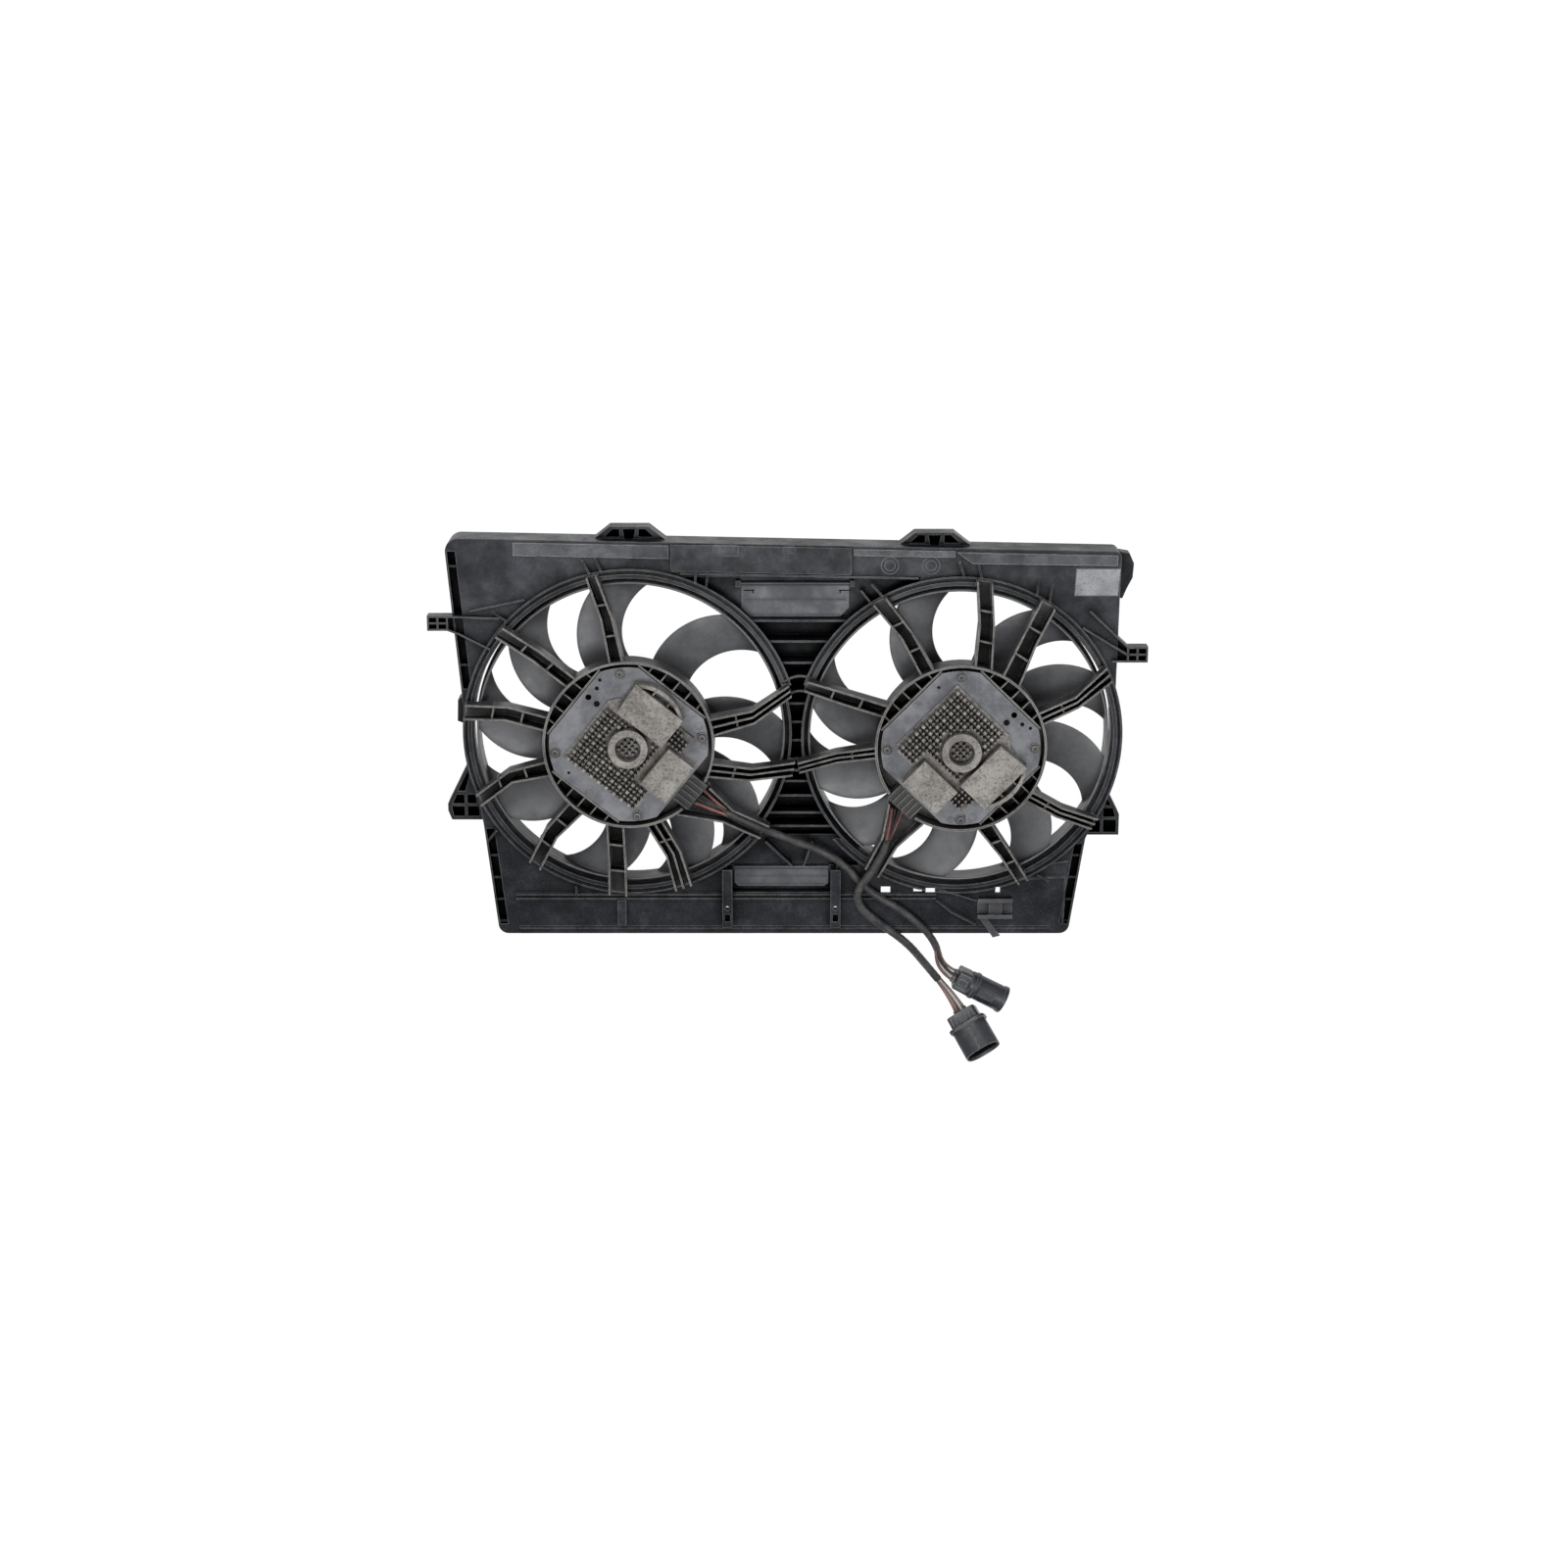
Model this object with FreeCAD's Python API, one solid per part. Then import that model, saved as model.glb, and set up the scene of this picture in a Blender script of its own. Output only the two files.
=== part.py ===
import FreeCAD, Part
import math
import os

# Radiator fan shroud with two electric fans. Lengths in millimetres, angles in degrees.
# z = 0 is the face against the radiator, +Z points to the motors, +Y up the radiator.

# Moulded frame
skin = 2.5                      # wall of every moulded panel
panel_top = 38.0                # panel above the radiator face
lip_top = 43.0                  # lip round each fan opening
lip_width = 10.0
barrel_low = 8.0                # lower edge of the barrels round the fans
top_left_x = -358.0
top_left_y = 213.0
top_right_x = 347.0
top_right_y = 199.0
waist_left_x = -338.0
waist_left_y = -22.0
waist_right_x = 344.0
waist_right_y = -50.0
low_left_x = -325.0
low_left_y = -96.0
low_right_x = 318.0
low_right_y = -113.0
bottom_left_x = -311.0
bottom_right_x = 302.0
frame_height = 433.0            # left edge of the panel, top to bottom
bottom_y = top_left_y - frame_height
top_corner = 14.0               # corner radii of the outline
bottom_corner = 11.0
gutter_width = 10.5             # stepped edge down both sides
gutter_floor = 20.0
gutter_pitch = 33.0
rim = 2.0                       # thin upstanding edges
rib = 2.2                       # stiffening ribs
bay_floor = 24.5                # flap bays between the fans
rib_floor = 9.0                 # deep ribbed bay and column
rib_bay_y = 123.0
lip_groove = 3.0
bay_top_y = 172.0
bay_low_y = -143.0
column_top_y = 57.0
column_low_y = -112.0

# Fans
left_x = -166.0
left_y = 4.0
left_opening = 167.5            # radius
right_x = 180.0
right_y = 0.0
right_opening = 163.5
tip_gap = 4.5                   # between a fan's band and its barrel
band_wall = 2.5
band_low = 12.0
band_top = 39.0
blade_low = 14.0
blade_top = 37.5
blade_thick = 2.4
blade_camber = 4.0
blade_lean = -24.4              # direction of a blade's axis from its root
cup_radius = 72.0
cup_low = 22.5
cup_top = 47.0
cup_vent = 6.0
left_blades = (6, 54, 105, 144, 180, 217.5, 265, 302, 329)
right_blades = (28, 62, 115.5, 170, 203, 232, 267, 311, 353)
# Turn of a blade's edges at the cup, in the middle and at the band.
leading_edge = (-22.0, -11.2, -26.0)
trailing_edge = (19.5, 13.5, -3.8)

# Motor carriers: a ladder-ribbed ring on channel-section arms
carrier_radius = 89.5
carrier_bore = 60.0
carrier_low = 62.0
carrier_top = 90.0
chord_distance = 73.0           # middle of the straight walls inside the ring
cell_count = 5
boss_circle = 77.0
boss_radius = 5.0
arm_mid_low = 51.0
arm_mid_top = 71.0
arm_root_low = 64.0
arm_root_top = 87.0
arm_foot_top = 59.0
foot_reach = 8.0                # arms run this far past the opening's edge

# Motors
left_motor_turn = -39.0         # direction of each motor's plug
right_motor_turn = -134.4
plate_radius = 83.0
plate_low = 84.0
plate_thick = 3.0
plate_gap = 0.8                 # plate to the straight walls
drum_radius = 56.0
drum_low = 66.0
tower_radius = 14.0             # bearing tower under the drum
tower_low = 33.5
seat_gap = 0.05                 # pressed seats inside the motor
bearing_radius = 11.0
bearing_width = 7.0
shaft_radius = 4.0
shaft_play = 0.09
shaft_end_play = 0.6
bell_radius = 56.0
bell_wall = 3.0
bell_top = 62.0
stator_radius = 47.5
stator_low = 38.0
stator_top = 55.0
slot_count = 9
magnet_count = 12
magnet_thick = 3.0
magnet_width = 18.0
pocket_length = 60.0            # control board's pocket in the housing
pocket_width = 54.0
pocket_floor = 72.0
board_thick = 1.6
board_gap = 1.0

# Heat sink on each motor
sink_base = 4.0
sink_height = 16.0
pad_height = 19.0
pin_size = 3.2
pin_pitch = 10.0
ring_outer = 20.5
ring_inner = 13.5

# Plug on each motor
plug_width = 36.0
plug_depth = 21.0
plug_height = 15.0
plug_ribs = 6

# Side ears, top clips and lower brackets
ear_reach = 377.0
ear_block = 22.0
ear_height = 15.0
clip_height = 22.0
clip_stand = 12.8
clip_base = 82.0
clip_crest = 41.0
clip_pocket = 13.0
left_clip_x = -166.0
right_clip_x = 153.0
bracket_height = 24.0

# Posts with the fixing holes along the bottom
post_spacing = 116.0
post_middle_x = -7.0
post_width = 10.5
post_rise = 8.0
post_hole = 2.3
post_hole_y = -189.0
ridge_y = -177.5
ridge_width = 7.0
ridge_rise = 3.0

# Clip for the harness branch
harness_x = 222.5
harness_y = -189.0
harness_length = 37.0
harness_width = 22.0

# Ram-air flaps
flap_thick = 2.2
flap_play = 0.3
flap_pin = 1.5
flap_pin_play = 0.05
flap_overlap = 4.0
flap_side_gap = 0.8
lug_width = 5.0
upper_flap_left = -49.0
upper_flap_right = 64.0
upper_flap_y = 163.0
upper_flap_drop = 36.0
upper_flap_corner = 10.0        # clipped corners clear the lips as the flap swings
lower_flap_left = -57.5
lower_flap_right = 43.5
lower_flap_y = -148.0
lower_flap_drop = 22.0
lower_flap_corner = 4.0

# Wiring
cable_radius = 4.4
right_cable_radius = 4.7
arc_share = 0.45
round_radius = 15.3
round_length = 59.0
oval_width = 41.0
oval_height = 25.0
oval_length = 52.0

over = 1.0                      # how far a cutter runs past the face that it cuts

panel_low = panel_top - skin
left_centre = (left_x, left_y)
right_centre = (right_x, right_y)
upper_flap = (upper_flap_left, upper_flap_right, upper_flap_y, upper_flap_drop, upper_flap_corner)
lower_flap = (lower_flap_left, lower_flap_right, lower_flap_y, lower_flap_drop, lower_flap_corner)


# ---------------------------------------------------------------- shapes in general

def vector(x, y, z=0.0):
    return FreeCAD.Vector(x, y, z)


def polar(centre, radius, angle):
    turn = math.radians(angle)
    return (centre[0] + radius * math.cos(turn), centre[1] + radius * math.sin(turn))


def prism(corners, low, high):
    """Upright block over a plan outline."""
    points = [vector(x, y, low) for x, y in corners]
    wire = Part.makePolygon(points + points[:1])
    return Part.Face(wire).extrude(vector(0, 0, high - low))


def block(x0, x1, y0, y1, z0, z1):
    return Part.makeBox(x1 - x0, y1 - y0, z1 - z0, vector(x0, y0, z0))


def disc(centre, radius, low, high):
    return Part.makeCylinder(radius, high - low, vector(centre[0], centre[1], low))


def tube(centre, outer, inner, low, high):
    return disc(centre, outer, low, high).cut(disc(centre, inner, low - over, high + over))


def bar(start, end, width, low, high):
    """Straight upright rib between two plan points."""
    along = vector(end[0] - start[0], end[1] - start[1])
    side = vector(-along.y, along.x).normalize() * (width / 2)
    corners = [(start[0] + side.x, start[1] + side.y), (start[0] - side.x, start[1] - side.y),
               (end[0] - side.x, end[1] - side.y), (end[0] + side.x, end[1] + side.y)]
    return prism(corners, low, high)


def fin(inner, outer, width, low, high):
    """Triangular gusset, tall at its inner end."""
    along = vector(outer[0] - inner[0], outer[1] - inner[1])
    side = vector(-along.y, along.x).normalize() * (width / 2)
    start = vector(inner[0], inner[1], low) - side
    points = [start, start + along, start + vector(0, 0, high - low)]
    return Part.Face(Part.makePolygon(points + points[:1])).extrude(side * 2)


def rounded_wire(corners, height):
    """Closed outline whose corners (x, y, radius) are joined by tangent arcs."""
    edges = []
    ends = []
    count = len(corners)
    for index, (x, y, radius) in enumerate(corners):
        here = vector(x, y, height)
        before = vector(corners[index - 1][0], corners[index - 1][1], height)
        after = vector(corners[(index + 1) % count][0], corners[(index + 1) % count][1], height)
        back = (before - here).normalize()
        ahead = (after - here).normalize()
        half = back.getAngle(ahead) / 2
        if radius == 0:
            ends.append((here, here, None))
            continue
        reach = radius / math.tan(half)
        middle = here + (back + ahead).normalize() * (radius / math.sin(half) - radius)
        ends.append((here + back * reach, here + ahead * reach, middle))
    for index, (start, end, middle) in enumerate(ends):
        if middle is not None:
            edges.append(Part.Arc(start, middle, end).toShape())
        edges.append(Part.LineSegment(end, ends[(index + 1) % count][0]).toShape())
    return Part.Wire(edges)


def fuse(shapes):
    return shapes[0].multiFuse(shapes[1:]).removeSplitter()


def cut(shape, tools):
    return shape.cut(Part.makeCompound(tools))


def save(name, shape):
    shape.exportStep("parts/" + name + ".step")
    print(name, len(shape.Solids), "solids", round(shape.Volume), "mm3")


# ---------------------------------------------------------------- moulded frame

def top_edge(x):
    """Height of the sloping top edge."""
    slope = (top_right_y - top_left_y) / (top_right_x - top_left_x)
    return top_left_y + slope * (x - top_left_x)


def outline(inset, low, high):
    """Frame's plan outline, moved inwards, as a solid."""
    corners = [(top_left_x, top_left_y, top_corner), (top_right_x, top_right_y, top_corner / 2),
               (waist_right_x, waist_right_y, 0), (low_right_x, low_right_y, 0),
               (bottom_right_x, bottom_y, bottom_corner), (bottom_left_x, bottom_y, bottom_corner),
               (low_left_x, low_left_y, 0), (waist_left_x, waist_left_y, 0)]
    face = Part.Face(rounded_wire(corners, low))
    if inset > 0:
        face = face.makeOffset2D(-inset)
    return face.extrude(vector(0, 0, high - low))


def gutters(inset, width, low, high, grow):
    """Band inside the outline along the straight parts of both side edges."""
    band = outline(inset, low, high).cut(outline(width, low - over, high + over))
    windows = [block(-ear_reach, left_x, 52 - grow, top_left_y - top_corner + grow, low, high),
               block(-ear_reach, left_x, bottom_y + bottom_corner - grow, low_left_y - 6 + grow, low, high),
               block(right_x, ear_reach, bottom_y + bottom_corner - grow, low_right_y - 6 + grow, low, high)]
    return band.common(Part.makeCompound(windows))


def gutter_ribs():
    """Cross ribs in the gutters."""
    ribs = []
    high = top_left_y - top_corner - gutter_pitch / 2
    while high > 60:
        ribs.append(block(-ear_reach, left_x, high - rib / 2, high + rib / 2,
                          gutter_floor - skin, panel_top - 4))
        high -= gutter_pitch * 1.6
    low = low_right_y - gutter_pitch * 0.6
    while low > bottom_y + bottom_corner:
        ribs.append(block(-ear_reach, ear_reach, low - rib / 2, low + rib / 2,
                          gutter_floor - skin, panel_top - 4))
        low -= gutter_pitch * 0.75
    return Part.makeCompound(ribs).common(gutters(rim / 2, gutter_width + skin / 2, 0, panel_top, 0))


def bay_plan(grow):
    """Sunken bay between the fans, with the column and the lower bay below it."""
    upper = [(-118 - grow, bay_top_y + grow), (139 + grow, bay_top_y + grow),
             (60, column_top_y - 10), (-40, column_top_y - 10)]
    column = [(-40, column_top_y + 10), (60, column_top_y + 10),
              (60, column_low_y - 10), (-40, column_low_y - 10)]
    lower = [(-40, column_low_y), (60, column_low_y),
             (76 + grow, bay_low_y - grow), (-66 - grow, bay_low_y - grow)]
    return upper, column, lower


def bay_solid(grow, floor_drop, high):
    """Room of the bays: shallow at the flaps and deep between them."""
    pieces = [prism(plan, bay_floor - floor_drop, high) for plan in bay_plan(grow)]
    deep = [prism(plan, rib_floor - floor_drop, high) for plan in bay_plan(grow)]
    reach = block(left_x, right_x, column_low_y - grow, rib_bay_y + grow, 0, high)
    return fuse(pieces + [fuse(deep).common(reach)])


def lips():
    """Grooved raised ring round each opening; where the fans come close it is left out."""
    rings = []
    for centre, opening in ((left_centre, left_opening), (right_centre, right_opening)):
        ring = tube(centre, opening + lip_width, opening, panel_low, lip_top)
        groove = tube(centre, opening + lip_width - rim, opening + skin + rim, lip_top - lip_groove, lip_top + over)
        rings.append(ring.cut(groove))
    close = block(-40, 60, column_low_y, column_top_y, 0, lip_top + over)
    return fuse(rings).cut(close)


def barrels():
    return [tube(left_centre, left_opening + skin, left_opening, barrel_low, lip_top),
            tube(right_centre, right_opening + skin, right_opening, barrel_low, lip_top)]


def openings():
    return [disc(left_centre, left_opening, -over, lip_top + over),
            disc(right_centre, right_opening, -over, lip_top + over)]


def shelves():
    """Inward edge at each barrel's foot beside the column, under the fan's band."""
    left = tube(left_centre, left_opening + skin / 2, left_opening - tip_gap, barrel_low, barrel_low + skin)
    right = tube(right_centre, right_opening + skin / 2, right_opening - tip_gap, barrel_low, barrel_low + skin)
    return [left.common(block(-60, 60, -left_opening, left_opening, 0, lip_top)),
            right.common(block(-40, 80, -left_opening, left_opening, 0, lip_top))]


def bay_ribs():
    """Level ribs across the bays, cut back to the barrels."""
    foot = rib_floor - skin
    upper = [bar((-90, y), (110, y), rib, foot, panel_top) for y in (rib_bay_y + rib, 103, 80)]
    column = [bar((-30, y), (60, y), rib, foot, panel_top) for y in (36, 16, -4, -24, -37, -49, -65, -84, -99)]
    slanted = [bar((-24, -116), (4, bay_low_y), rib, bay_floor - skin, panel_top + 2),
               bar((26, -116), (17, bay_low_y), rib, bay_floor - skin, panel_top + 2),
               bar((76, 158), (102, 125), rib, bay_floor - skin, panel_top + 3)]
    arches = [tube((13, 42), 26, 26 - rib, foot, lip_top).common(block(-40, 60, 44, 80, 0, 60)),
              tube((13, 27), 25, 25 - rib, foot, lip_top).common(block(-40, 60, 34, 60, 0, 60))]
    inside = [disc(left_centre, left_opening + skin / 2, 0, 60),
              disc(right_centre, right_opening + skin / 2, 0, 60)]
    return [cut(piece, inside) for piece in upper + column + slanted + arches]


def ring_fins():
    """Small gussets that run from the lips out over the panel."""
    fins = []
    for centre, opening, turns in ((left_centre, left_opening, (103, 99, 136, 67, 63, 250, 216)),
                                   (right_centre, right_opening, (118, 89, 83, 63, 58, 300))):
        for turn in turns:
            inner = polar(centre, opening + lip_width + 0.3, turn)
            outer = polar(centre, opening + lip_width + 20, turn + 2)
            fins.append(fin(inner, outer, rib, panel_low, lip_top + 7))
    return fins


def flap_plan(left, right, hinge_y, drop, corner, inset):
    """Shutter outline, moved inwards, with its two free corners clipped."""
    x0 = left + inset
    x1 = right - inset
    high = hinge_y - inset
    low = hinge_y - drop + inset
    return [(x0, high), (x0, low + corner), (x0 + corner, low), (x1 - corner, low), (x1, low + corner), (x1, high)]


def flap_bay(left, right, hinge_y, drop, corner):
    """Recess floor, window and hinge lugs for one flap."""
    low_y = hinge_y - drop
    edge = flap_side_gap + lug_width + flap_side_gap
    floor = block(left - edge, right + edge, low_y - 4, hinge_y + 5, bay_floor - skin, bay_floor)
    axis_z = bay_floor + flap_play + flap_thick / 2 + flap_pin
    lugs = []
    holes = []
    for side, x in ((-1, left), (1, right)):
        near = x + side * flap_side_gap
        far = near + side * lug_width
        lugs.append(block(min(near, far), max(near, far), hinge_y - 3.5, hinge_y + 3.5,
                          bay_floor - skin, axis_z + flap_pin + 1.5))
        start = vector(min(near, far) - over, hinge_y, axis_z)
        holes.append(Part.makeCylinder(flap_pin + flap_pin_play, lug_width + 2 * over, start, vector(1, 0, 0)))
    window = prism(flap_plan(left, right, hinge_y, drop, corner, flap_overlap), 0, bay_floor + over)
    return [floor] + lugs, holes + [window]


def top_details():
    """Raised strips, the middle panel and the pads under the sloping top edge."""
    def strip(x0, x1, above, below, rise):
        corners = [(x0, top_edge(x0) - below), (x1, top_edge(x1) - below),
                   (x1, top_edge(x1) - above), (x0, top_edge(x0) - above)]
        return prism(corners, panel_low, panel_top + rise)
    middle = strip(-122, 66, 1.5, 30, 3.5)
    middle = cut(middle, [block(-78, -52, 195, 215, panel_top + 2, 60),
                          block(-4, 7, 198, 215, panel_top + 2, 60)])
    pad = prism([(175, top_edge(175) - 4), (top_right_x - 4, top_edge(top_right_x) - 4),
                 (top_right_x - 4, 184), (192, 186)], panel_low, panel_top + 2)
    brow = [bar((-112, 176), (136, 171), rib, bay_floor, panel_top + 3),
            bar((-333, 136), (-275, 148), rib, panel_low, panel_top + 3)]
    return [strip(-286, -124, 3, 17, 1.5), middle, strip(68, 174, 3, 10, 1.5), pad] + brow


def top_clip(x):
    """Tower on the top wall with a slot that takes the radiator's tab."""
    base = top_edge(x) - 3
    crest = top_edge(x) + clip_stand
    plan = [(x - clip_base / 2, base), (x + clip_base / 2, base), (x + clip_base / 2 - 8, base + 6),
            (x + clip_crest / 2, crest), (x - clip_crest / 2, crest), (x - clip_base / 2 + 8, base + 6)]
    tower = prism(plan, 0, clip_height)
    half = clip_pocket / 2
    pocket = prism([(x - half, crest - 2.5), (x - half * 0.6, base - 1), (x + half * 0.6, base - 1),
                    (x + half, crest - 2.5)], 4, clip_height + over)
    hollows = [prism([(x + side * 10, base + 5), (x + side * 26, base + 5), (x + side * 17, crest - 2.5),
                      (x + side * 10, crest - 2.5)], 3, clip_height + over) for side in (-1, 1)]
    return cut(tower, [pocket] + hollows)


def waffle(x0, x1, y0, y1, z0, z1):
    """Block with two by two pockets open upwards."""
    pockets = []
    for column in range(2):
        for row in range(2):
            cell_x = (x1 - x0 - rim) / 2
            cell_y = (y1 - y0 - rim) / 2
            px = x0 + rim + column * cell_x
            py = y0 + rim + row * cell_y
            pockets.append(block(px, px + cell_x - rim, py, py + cell_y - rim, z0 + rim, z1 + over))
    return cut(block(x0, x1, y0, y1, z0, z1), pockets)


def ears():
    """Two side arms that end in waffle blocks."""
    top = panel_top + 7
    low = top - ear_height
    left = [waffle(-ear_reach, -ear_reach + ear_block, 116, 132, low, top),
            prism([(-ear_reach + ear_block - 1, 132), (-318, 131), (-318, 98), (-345, 110),
                   (-ear_reach + ear_block - 1, 116)], low, low + skin),
            bar((-ear_reach + ear_block - 1, 131), (-302, 129), rim, low, top),
            bar((-ear_reach + ear_block - 1, 117), (-343, 112), rim, low, top),
            bar((-343, 112), (-312, 96), rim, low, top),
            prism([(-302, 130), (-318, 131), (-318, 98), (-302, 112)], low, panel_top)]
    right = [waffle(ear_reach - ear_block, ear_reach, 82, 99, low, top),
             prism([(ear_reach - ear_block + 1, 99), (330, 123), (330, 95), (345, 82),
                    (ear_reach - ear_block + 1, 82)], low, low + skin),
             bar((ear_reach - ear_block + 1, 98), (315, 137), rim, low, top),
             bar((ear_reach - ear_block + 1, 90), (308, 119), rim, low, top),
             bar((ear_reach - ear_block + 1, 83), (340, 83), rim, low, top)]
    return left + right


def side_bracket(plan, holes):
    """Mounting foot with pockets between its ribs."""
    shape = prism(plan, 0, bracket_height)
    return cut(shape, [prism(hole, skin, bracket_height + over) for hole in holes])


def brackets():
    """Feet at both waists, the hook on the right edge and the bump on the left one."""
    left = [(-337, -24), (-364, -78), (-364, -86), (-360, -96), (-318, -96), (-325, -40)]
    left_pockets = [[(-339, -36), (-353, -64), (-345, -64), (-338, -40)],
                    [(-354, -68), (-359, -78), (-346, -78), (-346, -68)],
                    [(-343, -68), (-343, -78), (-333, -78), (-334, -68)],
                    [(-360, -81), (-358, -92), (-346, -92), (-346, -81)],
                    [(-343, -81), (-343, -92), (-330, -92), (-331, -81)]]
    right = [(335, -50), (355, -90), (355, -113), (312, -113), (322, -60)]
    right_pockets = [[(337, -62), (346, -80), (338, -80)],
                     [(338, -83), (338, -93), (351, -93), (348, -83)],
                     [(338, -96), (338, -110), (352, -110), (352, -96)],
                     [(323, -96), (323, -110), (335, -110), (335, -96)]]
    root = top_right_x - rim
    hook = prism([(root, 196), (root + 12, 194), (root + 17, 183), (root + 16, 168), (root + 10, 156),
                  (root + 6, 146), (root - 1, 146)], 6, clip_height)
    bump = prism([(-333, 50), (-349, 38), (-350, 15), (-336, 10)], 8, 30)
    return [side_bracket(left, left_pockets), side_bracket(right, right_pockets), hook, bump]


def bottom_details():
    """Ridge, posts with fixing holes and the thin straps along the bottom."""
    crest = panel_top + ridge_rise
    ridge = [block(-292, 159, y - rib / 2, y + rib / 2, panel_low, crest)
             for y in (ridge_y - (ridge_width - rib) / 2, ridge_y + (ridge_width - rib) / 2)]
    posts = []
    holes = []
    for side in (-1, 1):
        x = post_middle_x + side * post_spacing / 2
        posts.append(block(x - post_width / 2, x + post_width / 2, bottom_y + 9, -146, panel_low, panel_top + post_rise))
        holes.append(disc((x, post_hole_y), post_hole, 0, panel_top + post_rise + over))
        holes.append(block(x - 3, x + 3, -204, -196, panel_top, panel_top + post_rise + over))
    posts.append(block(-183, -174, -209, -181, panel_low, panel_top + 5))
    straps = [bar((159, -181), (176, -195), rim, panel_low, panel_top + 4),
              bar((176, -195), (202, -209), rim, panel_low, panel_top + 4),
              bar((159, -168), (203, -182), rim, panel_low, panel_top + 4),
              bar((214, -150), (300, -138), rim, panel_low, panel_top + 2),
              bar((250, -158), (298, -156), rim, panel_low, panel_top + 1),
              bar((298, -156), (296, -208), rim, panel_low, panel_top + 1)]
    foot = block(bottom_left_x + bottom_corner, bottom_right_x - bottom_corner, bottom_y - 2, bottom_y + 1, 24, 30)
    slots = [block(x0, x1, y0, y1, 0, 60) for x0, x1, y0, y1 in
             ((100, 110, -174, -167), (135, 144, -173, -169), (148, 158, -174, -168), (223, 228, -174, -166),
              (211, 216, -204, -199))]
    groove = block(bottom_left_x + 2 * bottom_corner, bottom_right_x - 2 * bottom_corner,
                   bottom_y + 6, bottom_y + 6 + rib, panel_top - 1, panel_top + over)
    return ridge + posts + straps + [foot], holes + slots + [groove]


def lower_recess(grow, low, high):
    """Sunken pocket round the lower flap."""
    side = 2 * (flap_side_gap + 1) + lug_width - 0.6 + grow
    return block(lower_flap_left - side, lower_flap_right + side,
                 lower_flap_y - lower_flap_drop - 3 - grow, lower_flap_y + 6, low, high)


def make_frame():
    """One moulding: open box, barrels, lips, bays, ribs and fixings."""
    bay_void = bay_solid(0, 0, panel_top + over)
    bay_void = cut(bay_void, [disc(left_centre, left_opening + skin, 0, 60),
                              disc(right_centre, right_opening + skin, 0, 60)])
    upper_adds, upper_cuts = flap_bay(*upper_flap)
    lower_adds, lower_cuts = flap_bay(*lower_flap)
    bottom_adds, bottom_cuts = bottom_details()
    hollow = outline(skin, -over, panel_low)
    hollow = cut(hollow, [bay_solid(skin, skin, panel_top), lower_recess(skin, bay_floor - skin, panel_low),
                          gutters(0, gutter_width + skin, gutter_floor - skin, panel_top, skin)])
    shell = cut(outline(0, 0, panel_top), [hollow, gutters(rim, gutter_width, gutter_floor, panel_top + over, 0)])
    clips = [top_clip(left_clip_x), top_clip(right_clip_x)]
    solid = fuse([shell, lips()] + top_details() + ears() + brackets() + ring_fins() + clips)
    solid = cut(solid, [bay_void, lower_recess(0, bay_floor, panel_top + over)])
    solid = fuse([solid, gutter_ribs()] + barrels() + bay_ribs() + upper_adds + lower_adds + bottom_adds)
    solid = cut(solid, openings() + upper_cuts + lower_cuts + bottom_cuts)
    return fuse([solid] + shelves())


def make_flap(left, right, hinge_y, drop, corner):
    """Flat shutter with a trunnion at each end of its top edge."""
    low = bay_floor + flap_play
    axis_z = low + flap_thick / 2 + flap_pin
    plate = prism(flap_plan(left, right, hinge_y, drop, corner, 0), low, low + flap_thick)
    stiffeners = [block(left + inset, right - inset, y, y + 1.2, low, low + flap_thick + 1.0)
                  for y, inset in ((hinge_y - drop + 2, corner), (hinge_y - drop / 2, 3))]
    barrel = Part.makeCylinder(flap_pin + 0.6, right - left, vector(left, hinge_y, axis_z), vector(1, 0, 0))
    pin = Part.makeCylinder(flap_pin, right - left + 2 * (flap_side_gap + lug_width - 0.5),
                            vector(left - flap_side_gap - lug_width + 0.5, hinge_y, axis_z), vector(1, 0, 0))
    return fuse([plate, barrel, pin] + stiffeners)


# ---------------------------------------------------------------- motor carriers

def blend(first, middle, last, share):
    """Quadratic through three values at shares 0, 0.5 and 1."""
    return (first * (1 - share) * (1 - 2 * share) + middle * 4 * share * (1 - share)
            + last * share * (2 * share - 1))


def arm_station(centre, opening, arm, share):
    """Place and size of an arm's channel at a share of its length, from ring to lip."""
    turns, widths = arm[0], arm[1]
    root = carrier_radius - skin / 2
    radius = root + share * (opening + foot_reach - root)
    turn = blend(turns[0], turns[1], turns[2], share)
    width = blend(widths[0], widths[1], widths[2], share)
    low = blend(arm_root_low, arm_mid_low, lip_top + 0.2, share)
    high = blend(arm_root_top, arm_mid_top, arm_foot_top, share)
    return polar(centre, radius, turn), turn, width, low, high


def channel_wire(place, turn, width, low, high, walls):
    """Upright channel section with two or three flanges."""
    half = width / 2
    profile = [(-half, low), (half, low), (half, high), (half - rim, high), (half - rim, low + rim)]
    if walls == 3:
        profile += [(rim / 2, low + rim), (rim / 2, high), (-rim / 2, high), (-rim / 2, low + rim)]
    profile += [(rim - half, low + rim), (rim - half, high), (-half, high)]
    across = (-math.sin(math.radians(turn)), math.cos(math.radians(turn)))
    points = [vector(place[0] + across[0] * s, place[1] + across[1] * s, z) for s, z in profile]
    return Part.makePolygon(points + points[:1])


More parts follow.
